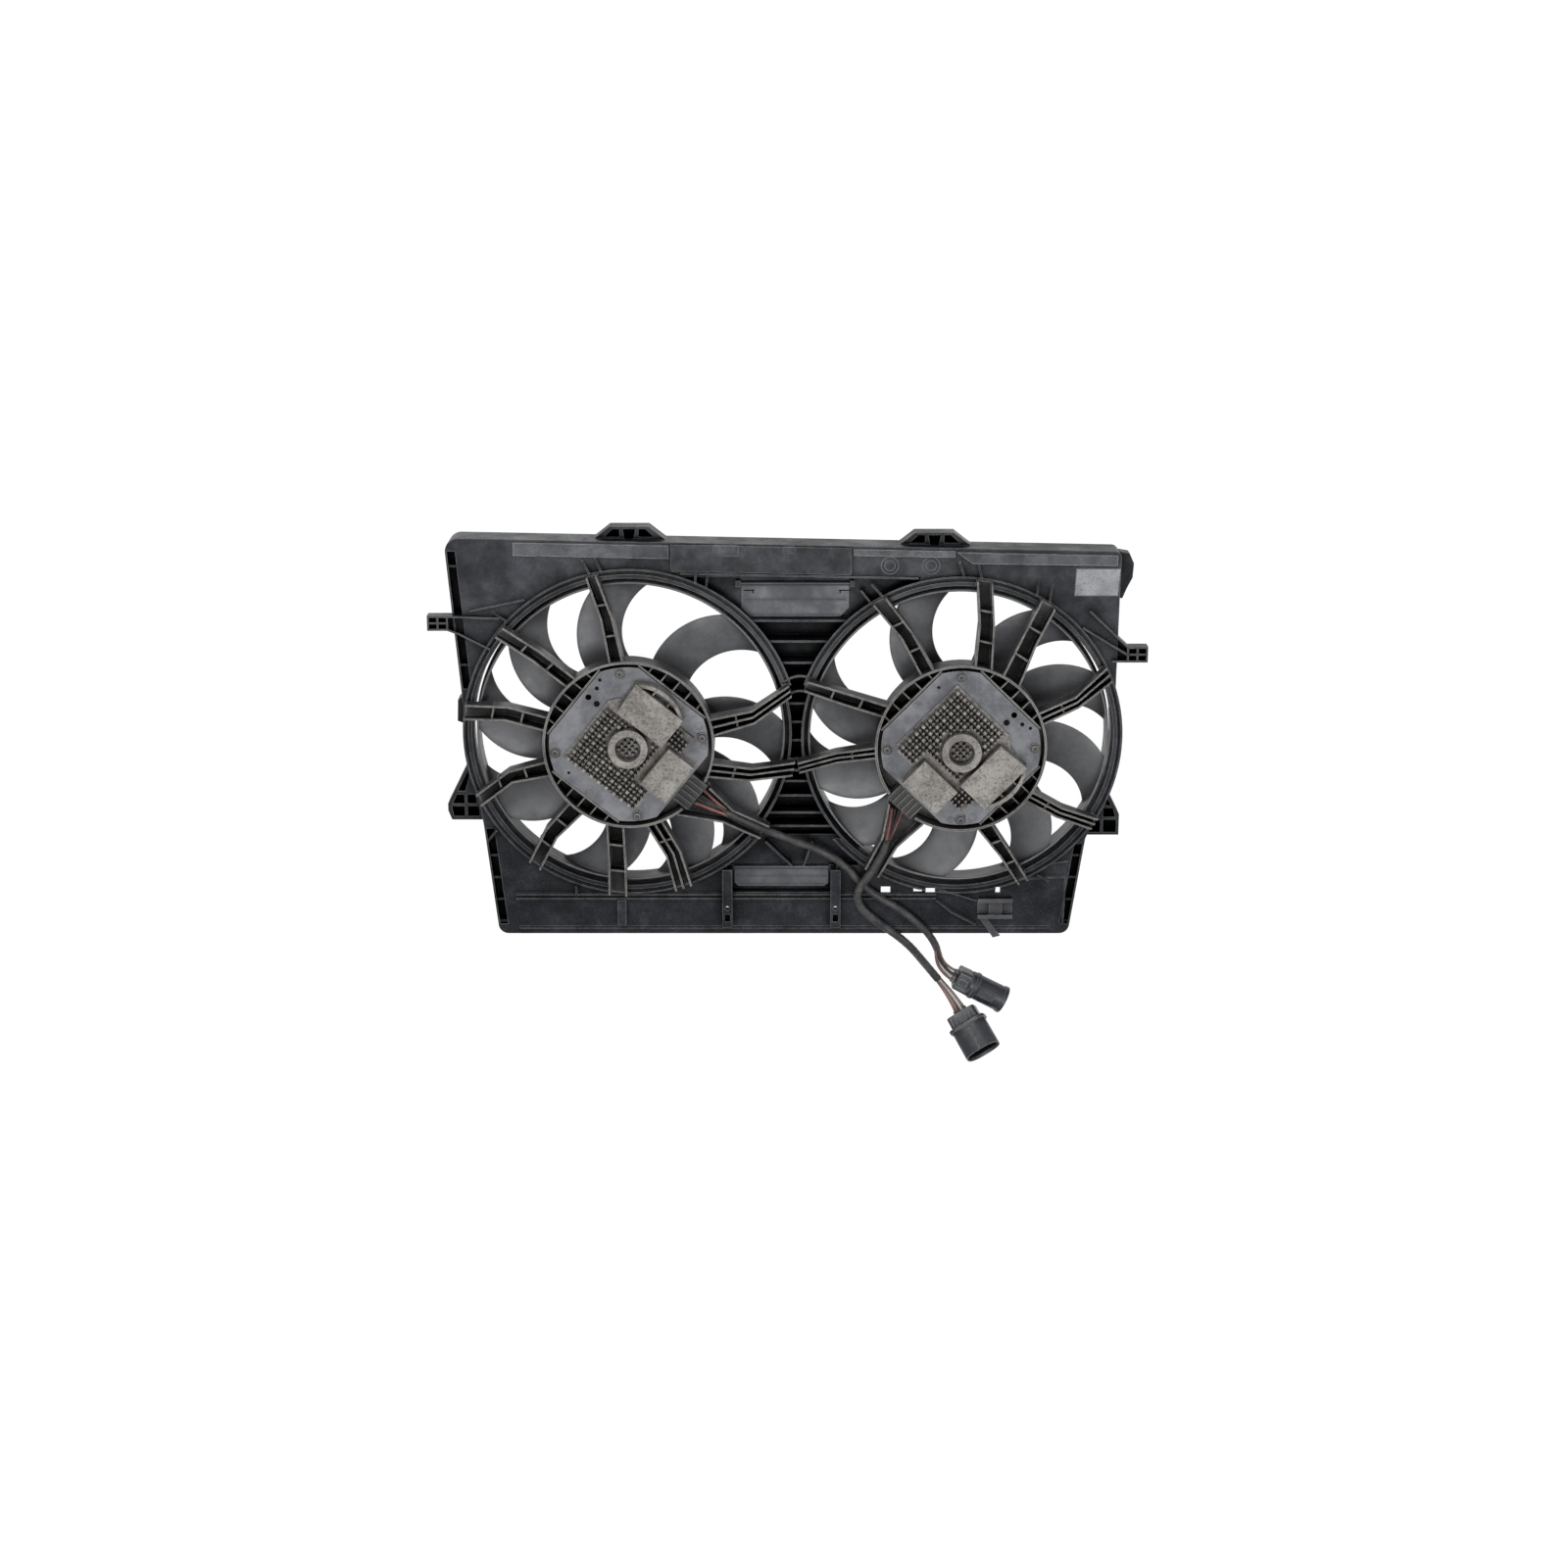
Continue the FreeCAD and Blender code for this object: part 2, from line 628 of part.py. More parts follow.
def make_arm(centre, opening, arm):
    """Lofted channel with cross ribs and a foot on the lip."""
    walls = arm[2]
    wires = []
    for share in (0.0, 0.5, 1.0):
        place, turn, width, low, high = arm_station(centre, opening, arm, share)
        wires.append(channel_wire(place, turn, width, low, high, walls))
    pieces = [Part.makeLoft(wires, True, True)]
    for share in arm[3]:
        place, turn, width, low, high = arm_station(centre, opening, arm, share)
        across = polar((0, 0), width / 2 - rim / 2, turn + 90)
        pieces.append(bar((place[0] - across[0], place[1] - across[1]),
                          (place[0] + across[0], place[1] + across[1]), rim, low + rim / 2, high - 3))
    width = arm[1][2]
    tip = polar(centre, opening + foot_reach, arm[0][2])
    heel = polar(centre, opening + 0.5, arm[0][2])
    pieces.append(bar(heel, tip, width - 0.4, lip_top, lip_top + 2.6))
    return pieces


# Turn at ring, middle and lip; width at the same places; number of flanges; shares that have cross ribs.
arm_ribs = (0.3, 0.66)
left_arms = (((97.6, 99.5, 102.4), (15, 13, 12), 2, arm_ribs), ((131.6, 136.5, 140), (14, 14, 14), 2, arm_ribs),
             ((165.5, 167.2, 171), (16, 16, 17), 2, arm_ribs), ((197.2, 197.5, 203.2), (17, 14, 14), 2, arm_ribs),
             ((230.9, 230.5, 233.8), (19, 16, 15), 2, arm_ribs), ((259.8, 263.5, 264.9), (19, 19, 20), 2, arm_ribs),
             ((286.6, 289.8, 288.2), (18, 17, 19), 3, arm_ribs[:1]), ((317.6, 321.2, 323.6), (46, 18, 18), 2, ()),
             ((341.7, 343.7, 348.7), (16, 15, 16), 3, arm_ribs[:1]), ((11.9, 11.0, 16.6), (19, 15, 13), 3, arm_ribs[:1]))
right_arms = (((114, 116, 119.5), (15, 14, 16), 2, arm_ribs), ((75.5, 78.5, 82), (19, 17, 17), 2, arm_ribs),
              ((54.6, 57.5, 58.3), (22, 18, 18), 2, arm_ribs), ((20.9, 20.4, 24.7), (14, 13, 17), 3, arm_ribs[:1]),
              ((324.2, 325.0, 327.9), (13, 13, 14), 3, arm_ribs[:1]), ((287.2, 292.5, 294.5), (17, 13, 12), 2, arm_ribs),
              ((230.9, 236.0, 238.1), (46, 20, 18), 2, ()), ((183.3, 186.5, 189.8), (13, 12, 12), 3, arm_ribs[:1]),
              ((153.3, 157.9, 159.8), (14, 14, 12), 2, arm_ribs))


def make_carrier(centre, opening, arms, motor_turn):
    """Ring with straight inner walls and ladder cells, bosses for the motor, and its arms."""
    ring = [tube(centre, carrier_radius, carrier_radius - skin, carrier_low, carrier_top),
            disc(centre, carrier_radius - skin / 2, carrier_low, carrier_low + skin).cut(
                prism([polar(centre, carrier_bore, motor_turn + 22.5 + 45 * side) for side in range(8)],
                      carrier_low - over, carrier_low + skin + over))]
    inner_rim = carrier_radius - skin
    half = math.sqrt(inner_rim ** 2 - (chord_distance + rim) ** 2)
    for side in (90, 180, 270):
        turn = motor_turn + side
        foot = polar(centre, chord_distance, turn)
        along = polar((0, 0), 1.0, turn + 90)
        outward = polar((0, 0), 1.0, turn)
        ring.append(bar((foot[0] - along[0] * half, foot[1] - along[1] * half),
                        (foot[0] + along[0] * half, foot[1] + along[1] * half),
                        rim, carrier_low + skin / 2, carrier_top - 4))
        for index in range(cell_count):
            shift = (index - (cell_count - 1) / 2) * 2 * half / (cell_count + 0.6)
            start = (foot[0] + along[0] * shift, foot[1] + along[1] * shift)
            reach = math.sqrt((inner_rim + skin / 2) ** 2 - shift ** 2) - chord_distance
            end = (start[0] + outward[0] * reach, start[1] + outward[1] * reach)
            ring.append(bar(start, end, rim * 0.8, carrier_low + skin / 2, carrier_top - 6))
    for corner in (45, 135, 225, 315):
        ring.append(disc(polar(centre, boss_circle, motor_turn + corner), boss_radius,
                         carrier_low + skin / 2, plate_low))
    body = fuse(ring + [piece for arm in arms for piece in make_arm(centre, opening, arm)])
    mouth_near = polar(centre, chord_distance, motor_turn)
    mouth_far = polar(centre, carrier_radius + 6, motor_turn)
    notch = bar(mouth_near, mouth_far, plug_width + 2, plate_low + plate_thick - plug_height - 2, carrier_top + over)
    return cut(body, [notch]).removeSplitter()


# ---------------------------------------------------------------- fans

def make_blade(root, tip):
    """Cambered sheet that rises towards its trailing edge, cut to a sickle plan between two radii."""
    along = vector(*polar((0, 0), 1.0, blade_lean))
    across = vector(*polar((0, 0), 1.0, blade_lean + 90))
    plan = [[polar((0, 0), radius, turn) for radius, turn in zip((root, (root + tip) / 2, tip), edge)]
            for edge in (leading_edge, trailing_edge)]
    spread = [across.dot(vector(*place)) for edge in plan for place in edge]
    first, last = min(spread), max(spread)

    def spot(share, drop):
        rise = blade_low + blade_thick + share * (blade_top - blade_low - blade_thick)
        return across * (first + share * (last - first)) + vector(0, 0, rise - drop)
    crown = spot(0.5, -blade_camber)
    belly = spot(0.5, blade_thick - blade_camber)
    edges = [Part.Arc(spot(0, 0), crown, spot(1, 0)).toShape(),
             Part.LineSegment(spot(1, 0), spot(1, blade_thick)).toShape(),
             Part.Arc(spot(1, blade_thick), belly, spot(0, blade_thick)).toShape(),
             Part.LineSegment(spot(0, blade_thick), spot(0, 0)).toShape()]
    sheet = Part.Face(Part.Wire(edges)).extrude(along * 2 * tip)
    (a, b, c), (d, e, f) = [[vector(*place) for place in edge] for edge in plan]
    sickle = Part.Wire([Part.Arc(a, b, c).toShape(), Part.LineSegment(c, f).toShape(),
                        Part.Arc(f, e, d).toShape(), Part.LineSegment(d, a).toShape()])
    return sheet.common(Part.Face(sickle).extrude(vector(0, 0, 2 * blade_top)))


def make_fan(centre, opening, blades):
    """Hub cup, sickle blades and the band that joins their tips."""
    band_outer = opening - tip_gap
    band_inner = band_outer - band_wall
    blade = make_blade(cup_radius - 2 * skin, band_outer + skin)
    blade = blade.common(tube((0, 0), band_outer - band_wall / 2, cup_radius - skin / 2, 0, lip_top))
    turned = []
    for turn in blades:
        copy = blade.copy()
        copy.rotate(vector(0, 0), vector(0, 0, 1), turn)
        copy.translate(vector(*centre))
        turned.append(copy)
    cup = disc(centre, cup_radius, cup_low, cup_top).cut(disc(centre, cup_radius - skin, cup_low + skin, cup_top + over))
    band = tube(centre, band_outer, band_inner, band_low, band_top)
    return cut(fuse([cup, band] + turned), [disc(centre, cup_vent, 0, cup_low + skin + over)])


# ---------------------------------------------------------------- motors, drawn with the plug towards +X

def at_motor(shape, centre, turn):
    placed = shape.copy()
    placed.rotate(vector(0, 0, 0), vector(0, 0, 1), turn)
    placed.translate(vector(centre[0], centre[1], 0))
    return placed


def make_housing():
    """Cover plate, drum with the board's pocket, plug socket and bearing tower."""
    flat = chord_distance - rim / 2 - plate_gap
    top = plate_low + plate_thick
    plate = disc((0, 0), plate_radius, plate_low, top).common(block(-flat, flat, -flat, flat, plate_low, top))
    drum = disc((0, 0), drum_radius, drum_low, plate_low)
    socket = block(drum_radius - 6, flat, -plug_width / 2 + 2, plug_width / 2 - 2, pocket_floor, plate_low)
    tower = disc((0, 0), tower_radius, tower_low, drum_low)
    body = fuse([plate, drum, socket, tower])
    pocket = block(-pocket_length / 2, pocket_length / 2, -pocket_width / 2, pocket_width / 2, pocket_floor, top + over)
    holes = [disc((-64, 14), 3.2, plate_low - over, top + over)]
    bore = disc((0, 0), bearing_radius, tower_low - over, drum_low)
    posts = []
    for x in (-pocket_length / 2, pocket_length / 2 - 5):
        for y in (-pocket_width / 2, pocket_width / 2 - 5):
            posts.append(block(x, x + 5, y, y + 5, pocket_floor - 1, pocket_floor + 4))
    return fuse([cut(body, [pocket, bore] + holes)] + posts)


def sink_plan():
    return [(-46, -52), (-46, 25), (-37, 36), (-37, 60), (27, 60), (28, 46), (33, 28), (67, 28), (67, -22), (48, -22),
            (48, -45), (43, -52)]


def make_sink():
    """Cast cover with rows of cooling pins, two flat pads, a round boss and a slotted brow."""
    low = plate_low + plate_thick
    base = prism(sink_plan(), low, low + sink_base)
    pads = [prism([(-33, 24), (-36, 60), (26, 60), (26, 24)], low, low + pad_height),
            prism([(33, -21), (33, 27), (66, 27), (66, -21)], low, low + pad_height)]
    brow_arc = Part.Arc(vector(-37, 58, low), vector(-5, 71, low), vector(27, 58, low)).toShape()
    brow_back = Part.Arc(vector(24, 57, low), vector(-5, 67, low), vector(-34, 57, low)).toShape()
    wire = Part.Wire([brow_arc, Part.LineSegment(vector(27, 58, low), vector(24, 57, low)).toShape(), brow_back,
                      Part.LineSegment(vector(-34, 57, low), vector(-37, 58, low)).toShape()])
    brow = Part.Face(wire).extrude(vector(0, 0, pad_height - 2))
    webs = [block(x, x + rim, 58, 67, low, low + pad_height - 5) for x in (-16, 3)]
    boss = tube((0, 0), ring_outer, ring_inner, low, low + pad_height)
    pins = []
    rows = int(100 / pin_pitch)
    for column in range(rows):
        for row in range(rows + 1):
            x = -41.5 + column * pin_pitch
            y = -47.5 + row * pin_pitch
            in_field = (x < 46 and y < 22) or (x < -36 and y < 20)
            on_pad = (x > 31 - pin_size and -23 < y) or (x < -46)
            if in_field and not on_pad and math.hypot(x, y) > ring_outer + pin_size:
                pins.append(block(x - pin_size / 2, x + pin_size / 2, y - pin_size / 2, y + pin_size / 2,
                                  low + sink_base / 2, low + sink_height))
    return fuse([base] + pads + [brow, boss] + webs + pins)


def magnet_plan(inset):
    """Twelve-sided ring line, one side for each magnet."""
    corner = (bell_radius - bell_wall - inset) / math.cos(math.pi / magnet_count)
    return [polar((0, 0), corner, (side + 0.5) * 360 / magnet_count) for side in range(magnet_count)]


def make_bell():
    """Steel cup with a flat inside for each magnet; the fan seats on its closed end."""
    low = cup_low + skin
    cavity = prism(magnet_plan(0.8), low + bell_wall, bell_top + over)
    bore = disc((0, 0), shaft_radius + seat_gap / 2, low - over, drum_low)
    return cut(disc((0, 0), bell_radius, low, bell_top), [cavity, bore])


def make_magnets():
    face = bell_radius - bell_wall - 0.8
    magnets = []
    for index in range(magnet_count):
        magnet = block(face - magnet_thick, face, -magnet_width / 2, magnet_width / 2, stator_low - 1, stator_top + 1)
        magnet.rotate(vector(0, 0, 0), vector(0, 0, 1), index * 360 / magnet_count)
        magnets.append(magnet)
    return Part.makeCompound(magnets)


def make_shaft():
    low = cup_low + skin - 1
    return disc((0, 0), shaft_radius, low, drum_low - shaft_end_play)


def make_bearings():
    low = tower_low
    high = drum_low - bearing_width
    bore = shaft_radius + shaft_play
    return Part.makeCompound([tube((0, 0), bearing_radius, bore, z, z + bearing_width) for z in (low, high)])


def tooth_size():
    return 7.0, stator_radius - 5.0            # width, length without the shoe


def make_stator():
    """Laminated core on the bearing tower: a back ring and one shoe-ended tooth for each slot."""
    width, length = tooth_size()
    pieces = [tube((0, 0), tower_radius + 10, tower_radius + seat_gap, stator_low, stator_top)]
    for index in range(slot_count):
        tooth = block(22, length, -width / 2, width / 2, stator_low, stator_top)
        shoe = prism([(length - 1, -7), (stator_radius - 1.6, -12), (stator_radius - 1.6, 12), (length - 1, 7)],
                     stator_low, stator_top)
        piece = tooth.fuse(shoe)
        piece.rotate(vector(0, 0, 0), vector(0, 0, 1), index * 360 / slot_count)
        pieces.append(piece)
    return fuse(pieces)


def make_windings():
    """One rectangular coil round each tooth."""
    width, length = tooth_size()
    coils = []
    for index in range(slot_count):
        coil = prism([(26, -width / 2 - 2), (length - 1, -width / 2 - 5), (length - 1, width / 2 + 5),
                      (26, width / 2 + 2)], stator_low - 3, stator_top + 3)
        coil = cut(coil, [block(20, length + over, -width / 2, width / 2, stator_low, stator_top)])
        coil.rotate(vector(0, 0, 0), vector(0, 0, 1), index * 360 / slot_count)
        coils.append(coil)
    return Part.makeCompound(coils)


def make_board():
    """Control board with its capacitors and power switches."""
    low = pocket_floor + 4
    half_x = pocket_length / 2 - board_gap
    half_y = pocket_width / 2 - board_gap
    pieces = [block(-half_x, half_x, -half_y, half_y, low, low + board_thick)]
    for x in (-18, -2, 14):
        pieces.append(block(x, x + 8, 6, 16, low + board_thick / 2, low + 8))
        pieces.append(block(x, x + 8, -16, -8, low + board_thick / 2, low + 4))
    return fuse(pieces)


def make_plug():
    """Ribbed wiring plug against the housing's socket."""
    near = chord_distance - rim / 2 - plate_gap
    top = plate_low + plate_thick - 1
    half = plug_width / 2 - 1
    pieces = [block(near, near + plug_depth, -half, half, top - plug_height, top - 2)]
    pitch = (2 * half - rib) / (plug_ribs - 1)
    for index in range(plug_ribs):
        y = -half + index * pitch
        pieces.append(block(near + 1, near + plug_depth - 1, y, y + rib, top - 3, top))
    return fuse(pieces)


# ---------------------------------------------------------------- wiring

def cord(route, radius, name):
    """Tube along straight runs joined by tangent arcs, each as large as its runs allow."""
    points = [vector(*place) for place in route]
    runs = [(points[i + 1] - points[i]).Length for i in range(len(points) - 1)]
    edges = []
    radii = []
    last = points[0]
    for index in range(1, len(points) - 1):
        here = points[index]
        back = (points[index - 1] - here).normalize()
        ahead = (points[index + 1] - here).normalize()
        half_turn = (math.pi - back.getAngle(ahead)) / 2
        reach = arc_share * min(runs[index - 1], runs[index])
        bend = reach / math.tan(half_turn)
        centre = here + (back + ahead).normalize() * math.hypot(bend, reach)
        middle = centre + (here - centre).normalize() * bend
        start = here + back * reach
        end = here + ahead * reach
        edges.append(Part.LineSegment(last, start).toShape())
        edges.append(Part.Arc(start, middle, end).toShape())
        radii.append(round(bend))
        last = end
    edges.append(Part.LineSegment(last, points[-1]).toShape())
    path = Part.Wire(edges)
    section = Part.Wire([Part.makeCircle(radius, points[0], points[1] - points[0])])
    body = path.makePipeShell([section], True, False)
    expected = math.pi * radius ** 2 * path.Length
    print(name, "length", round(path.Length, 1), "radii", radii, "volume share", round(body.Volume / expected, 4))
    return body


# Routes from the motor plugs, along the troughs and over the frame, down to the connectors.
round_place = (184.0, -277.5, 16.2)
round_turn = -27.6
round_lift = 0.0
oval_place = (190.0, -318.0, 20.0)
oval_turn = -56.9
oval_lift = 32.0


def behind(place, turn, lift, distance):
    """Point straight behind a connector's rear face."""
    x, y = polar(place, -distance * math.cos(math.radians(lift)), turn)
    return (x, y, place[2] - distance * math.sin(math.radians(lift)))


left_cable_route = ((-93, -55.1, 77), (-60.6, -80.4, 62), (-12, -104.5, 50), (55, -132, 45.5), (84, -169, 46.3),
                    (126, -192, 47), (160, -226, 45), behind(round_place, round_turn, round_lift, 20), round_place)
right_cable_route = ((113.2, -68.3, 76.5), (106, -108.5, 65), (92, -141, 57), (70, -170, 56), (84, -196, 48),
                     (126, -225, 46), (150, -262, 19), behind(oval_place, oval_turn, oval_lift, 22), oval_place)


def at_connector(shape, place, turn, lift):
    shape.rotate(vector(0, 0, 0), vector(0, -1, 0), lift)
    shape.rotate(vector(0, 0, 0), vector(0, 0, 1), turn)
    shape.translate(vector(*place))
    return shape


def along_x(radius, start, end):
    return Part.makeCylinder(radius, end - start, vector(start, 0, 0), vector(1, 0, 0))


def make_round_connector():
    """Round plug: square cable entry, ribbed barrel and an open mouth with its contact post."""
    body = fuse([block(0, 18, -12, 12, -12, 12), along_x(round_radius, 16, round_length),
                 block(22, 44, -5, 5, 0, round_radius + 0.9)])
    body = body.cut(along_x(round_radius - rim, 30, round_length + over))
    return body.fuse(along_x(5, 29, round_length - 6)).removeSplitter()


def make_oval_connector():
    """Flat plug: cable entry, flange and an oval hood open at the front."""
    half = oval_width / 2 - oval_height / 2

    def oval(radius, start, end):
        ends = [Part.makeCylinder(radius, end - start, vector(start, y, 0), vector(1, 0, 0)) for y in (-half, half)]
        return fuse(ends + [block(start, end, -half, half, -radius, radius)])
    body = fuse([block(0, 15, -17, 17, -11, 11), block(14, 18, -21.5, 21.5, -13.5, 13.5),
                 oval(oval_height / 2, 17, oval_length)])
    body = body.cut(oval(oval_height / 2 - rim, 26, oval_length + over))
    return body.fuse(block(25, oval_length - 8, -half, half, -2.5, 2.5)).removeSplitter()


def make_harness_clip():
    """Clip on the frame that holds the harness branch: base, two jaws and a latch tongue."""
    x0 = harness_x - harness_length / 2
    x1 = harness_x + harness_length / 2
    y0 = harness_y - harness_width / 2
    y1 = harness_y + harness_width / 2
    pieces = [block(x0, x1, y0, y1, panel_top, panel_top + 3),
              block(x0, x1, y1 - 4, y1, panel_top, panel_top + 10),
              block(x0, x1, y0, y0 + 4, panel_top, panel_top + 10),
              block(x0 + 12, x1 - 11, y0, y1, panel_top, panel_top + 6),
              prism([(x0, y0 + 1), (x0 + 8, y0 + 1), (x0 + 25, y0 - 22), (x0 + 17, y0 - 24)],
                    panel_top, panel_top + 2.5)]
    return fuse(pieces)


# ---------------------------------------------------------------- build

def build():
    os.makedirs("parts", exist_ok=True)
    save("shroud_frame", make_frame())
    save("upper_flap", make_flap(*upper_flap))
    save("lower_flap", make_flap(*lower_flap))
    save("harness_clip", make_harness_clip())
    inside = {"motor_bearings": make_bearings(), "stator_cores": make_stator(), "stator_windings": make_windings(),
              "control_boards": make_board()}
    for name, shape in inside.items():
        pair = [at_motor(shape, left_centre, left_motor_turn), at_motor(shape, right_centre, right_motor_turn)]
        save(name, Part.makeCompound([solid for placed in pair for solid in placed.Solids]))
    outside = {"motor_housing": make_housing(), "heat_sink": make_sink(), "rotor_bell": make_bell(),
               "rotor_magnets": make_magnets(), "motor_shaft": make_shaft(), "motor_plug": make_plug()}
    for side, centre, opening, blades, arms, turn in (
            ("left", left_centre, left_opening, left_blades, left_arms, left_motor_turn),
            ("right", right_centre, right_opening, right_blades, right_arms, right_motor_turn)):
        save(side + "_motor_carrier", make_carrier(centre, opening, arms, turn))
        save(side + "_fan", make_fan(centre, opening, blades))
        for name, shape in outside.items():
            save(side + "_" + name, at_motor(shape, centre, turn))
    save("left_cable", cord(left_cable_route, cable_radius, "left_cable"))
    save("right_cable", cord(right_cable_route, right_cable_radius, "right_cable"))
    save("round_connector", at_connector(make_round_connector(), round_place, round_turn, round_lift))
    save("oval_connector", at_connector(make_oval_connector(), oval_place, oval_turn, oval_lift))


build()
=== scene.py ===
import bmesh
import bpy
import math
import numpy as np
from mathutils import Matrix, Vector


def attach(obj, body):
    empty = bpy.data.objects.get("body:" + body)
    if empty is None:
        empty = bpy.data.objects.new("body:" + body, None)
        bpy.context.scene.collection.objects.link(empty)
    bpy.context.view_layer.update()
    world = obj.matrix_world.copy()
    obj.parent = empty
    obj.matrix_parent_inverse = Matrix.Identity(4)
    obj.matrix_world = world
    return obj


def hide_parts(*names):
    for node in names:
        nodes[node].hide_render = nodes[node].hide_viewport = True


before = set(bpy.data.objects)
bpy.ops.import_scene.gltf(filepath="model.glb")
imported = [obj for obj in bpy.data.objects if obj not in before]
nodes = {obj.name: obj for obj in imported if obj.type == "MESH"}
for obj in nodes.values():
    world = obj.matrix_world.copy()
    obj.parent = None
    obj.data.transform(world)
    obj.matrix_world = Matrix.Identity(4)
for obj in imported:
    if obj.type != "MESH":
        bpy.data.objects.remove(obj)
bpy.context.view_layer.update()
print("frame loaded:", len(nodes), "nodes")

mm = 0.001

# places that the pieces share, in millimetres in the frame's own axes
layout = {
    "leftCentre": (-166.0, 4.0), "rightCentre": (180.0, 0.0),
    "leftTurn": -39.0, "rightTurn": -134.4,        # direction of each motor's plug
    "leftOpening": 167.5, "rightOpening": 163.5,   # radii of the openings in the frame
    "panelTop": 38.0, "plateTop": 87.0,            # heights of the panel and of the cover plates
}


def newMaterial(name):
    mat = bpy.data.materials.new(name)
    mat.use_nodes = True
    mat.node_tree.nodes.clear()
    return mat, mat.node_tree.nodes, mat.node_tree.links


def noiseNode(tree, links, coords, scale, detail=4.0, roughness=0.6, stretch=None):
    # fractal noise in object metres; stretch pulls it into streaks
    tex = tree.new("ShaderNodeTexNoise")
    tex.inputs["Scale"].default_value = scale
    tex.inputs["Detail"].default_value = detail
    tex.inputs["Roughness"].default_value = roughness
    source = coords.outputs["Object"]
    if stretch is not None:
        mapping = tree.new("ShaderNodeMapping")
        mapping.inputs["Scale"].default_value = stretch
        links.new(source, mapping.inputs["Vector"])
        source = mapping.outputs["Vector"]
    links.new(source, tex.inputs["Vector"])
    return tex


def ramp(tree, links, source, low, high):
    # 0 below low, 1 above high
    node = tree.new("ShaderNodeMapRange")
    node.inputs["From Min"].default_value = low
    node.inputs["From Max"].default_value = high
    node.interpolation_type = "SMOOTHSTEP"
    links.new(source, node.inputs["Value"])
    return node.outputs["Result"]


def maths(tree, links, kind, a, b):
    node = tree.new("ShaderNodeMath")
    node.operation = kind
    for index, value in enumerate((a, b)):
        if isinstance(value, (int, float)):
            node.inputs[index].default_value = value
        else:
            links.new(value, node.inputs[index])
    return node.outputs["Value"]


def mixColour(tree, links, factor, a, b):
    node = tree.new("ShaderNodeMix")
    node.data_type = "RGBA"
    links.new(factor, node.inputs["Factor"])
    for socket, value in ((node.inputs["A"], a), (node.inputs["B"], b)):
        if isinstance(value, tuple):
            socket.default_value = (*value, 1.0)
        else:
            links.new(value, socket)
    return node.outputs["Result"]


def edgeMask(tree, links, radius):
    # 1 where a rounded edge would turn the surface away from its own flat face
    bevel = tree.new("ShaderNodeBevel")
    bevel.samples = 6
    bevel.inputs["Radius"].default_value = radius
    geometry = tree.new("ShaderNodeNewGeometry")
    dot = tree.new("ShaderNodeVectorMath")
    dot.operation = "DOT_PRODUCT"
    links.new(bevel.outputs["Normal"], dot.inputs[0])
    links.new(geometry.outputs["Normal"], dot.inputs[1])
    return maths(tree, links, "SUBTRACT", 1.0, dot.outputs["Value"])


# heights in metres between which the frame's painted shade and painted highlight change
strips = {"fadeSpan": (-0.19, -0.02), "topSpan": (0.176, 0.18), "above": (0.0388, 0.0392),
          "below": (0.0404, 0.0408)}


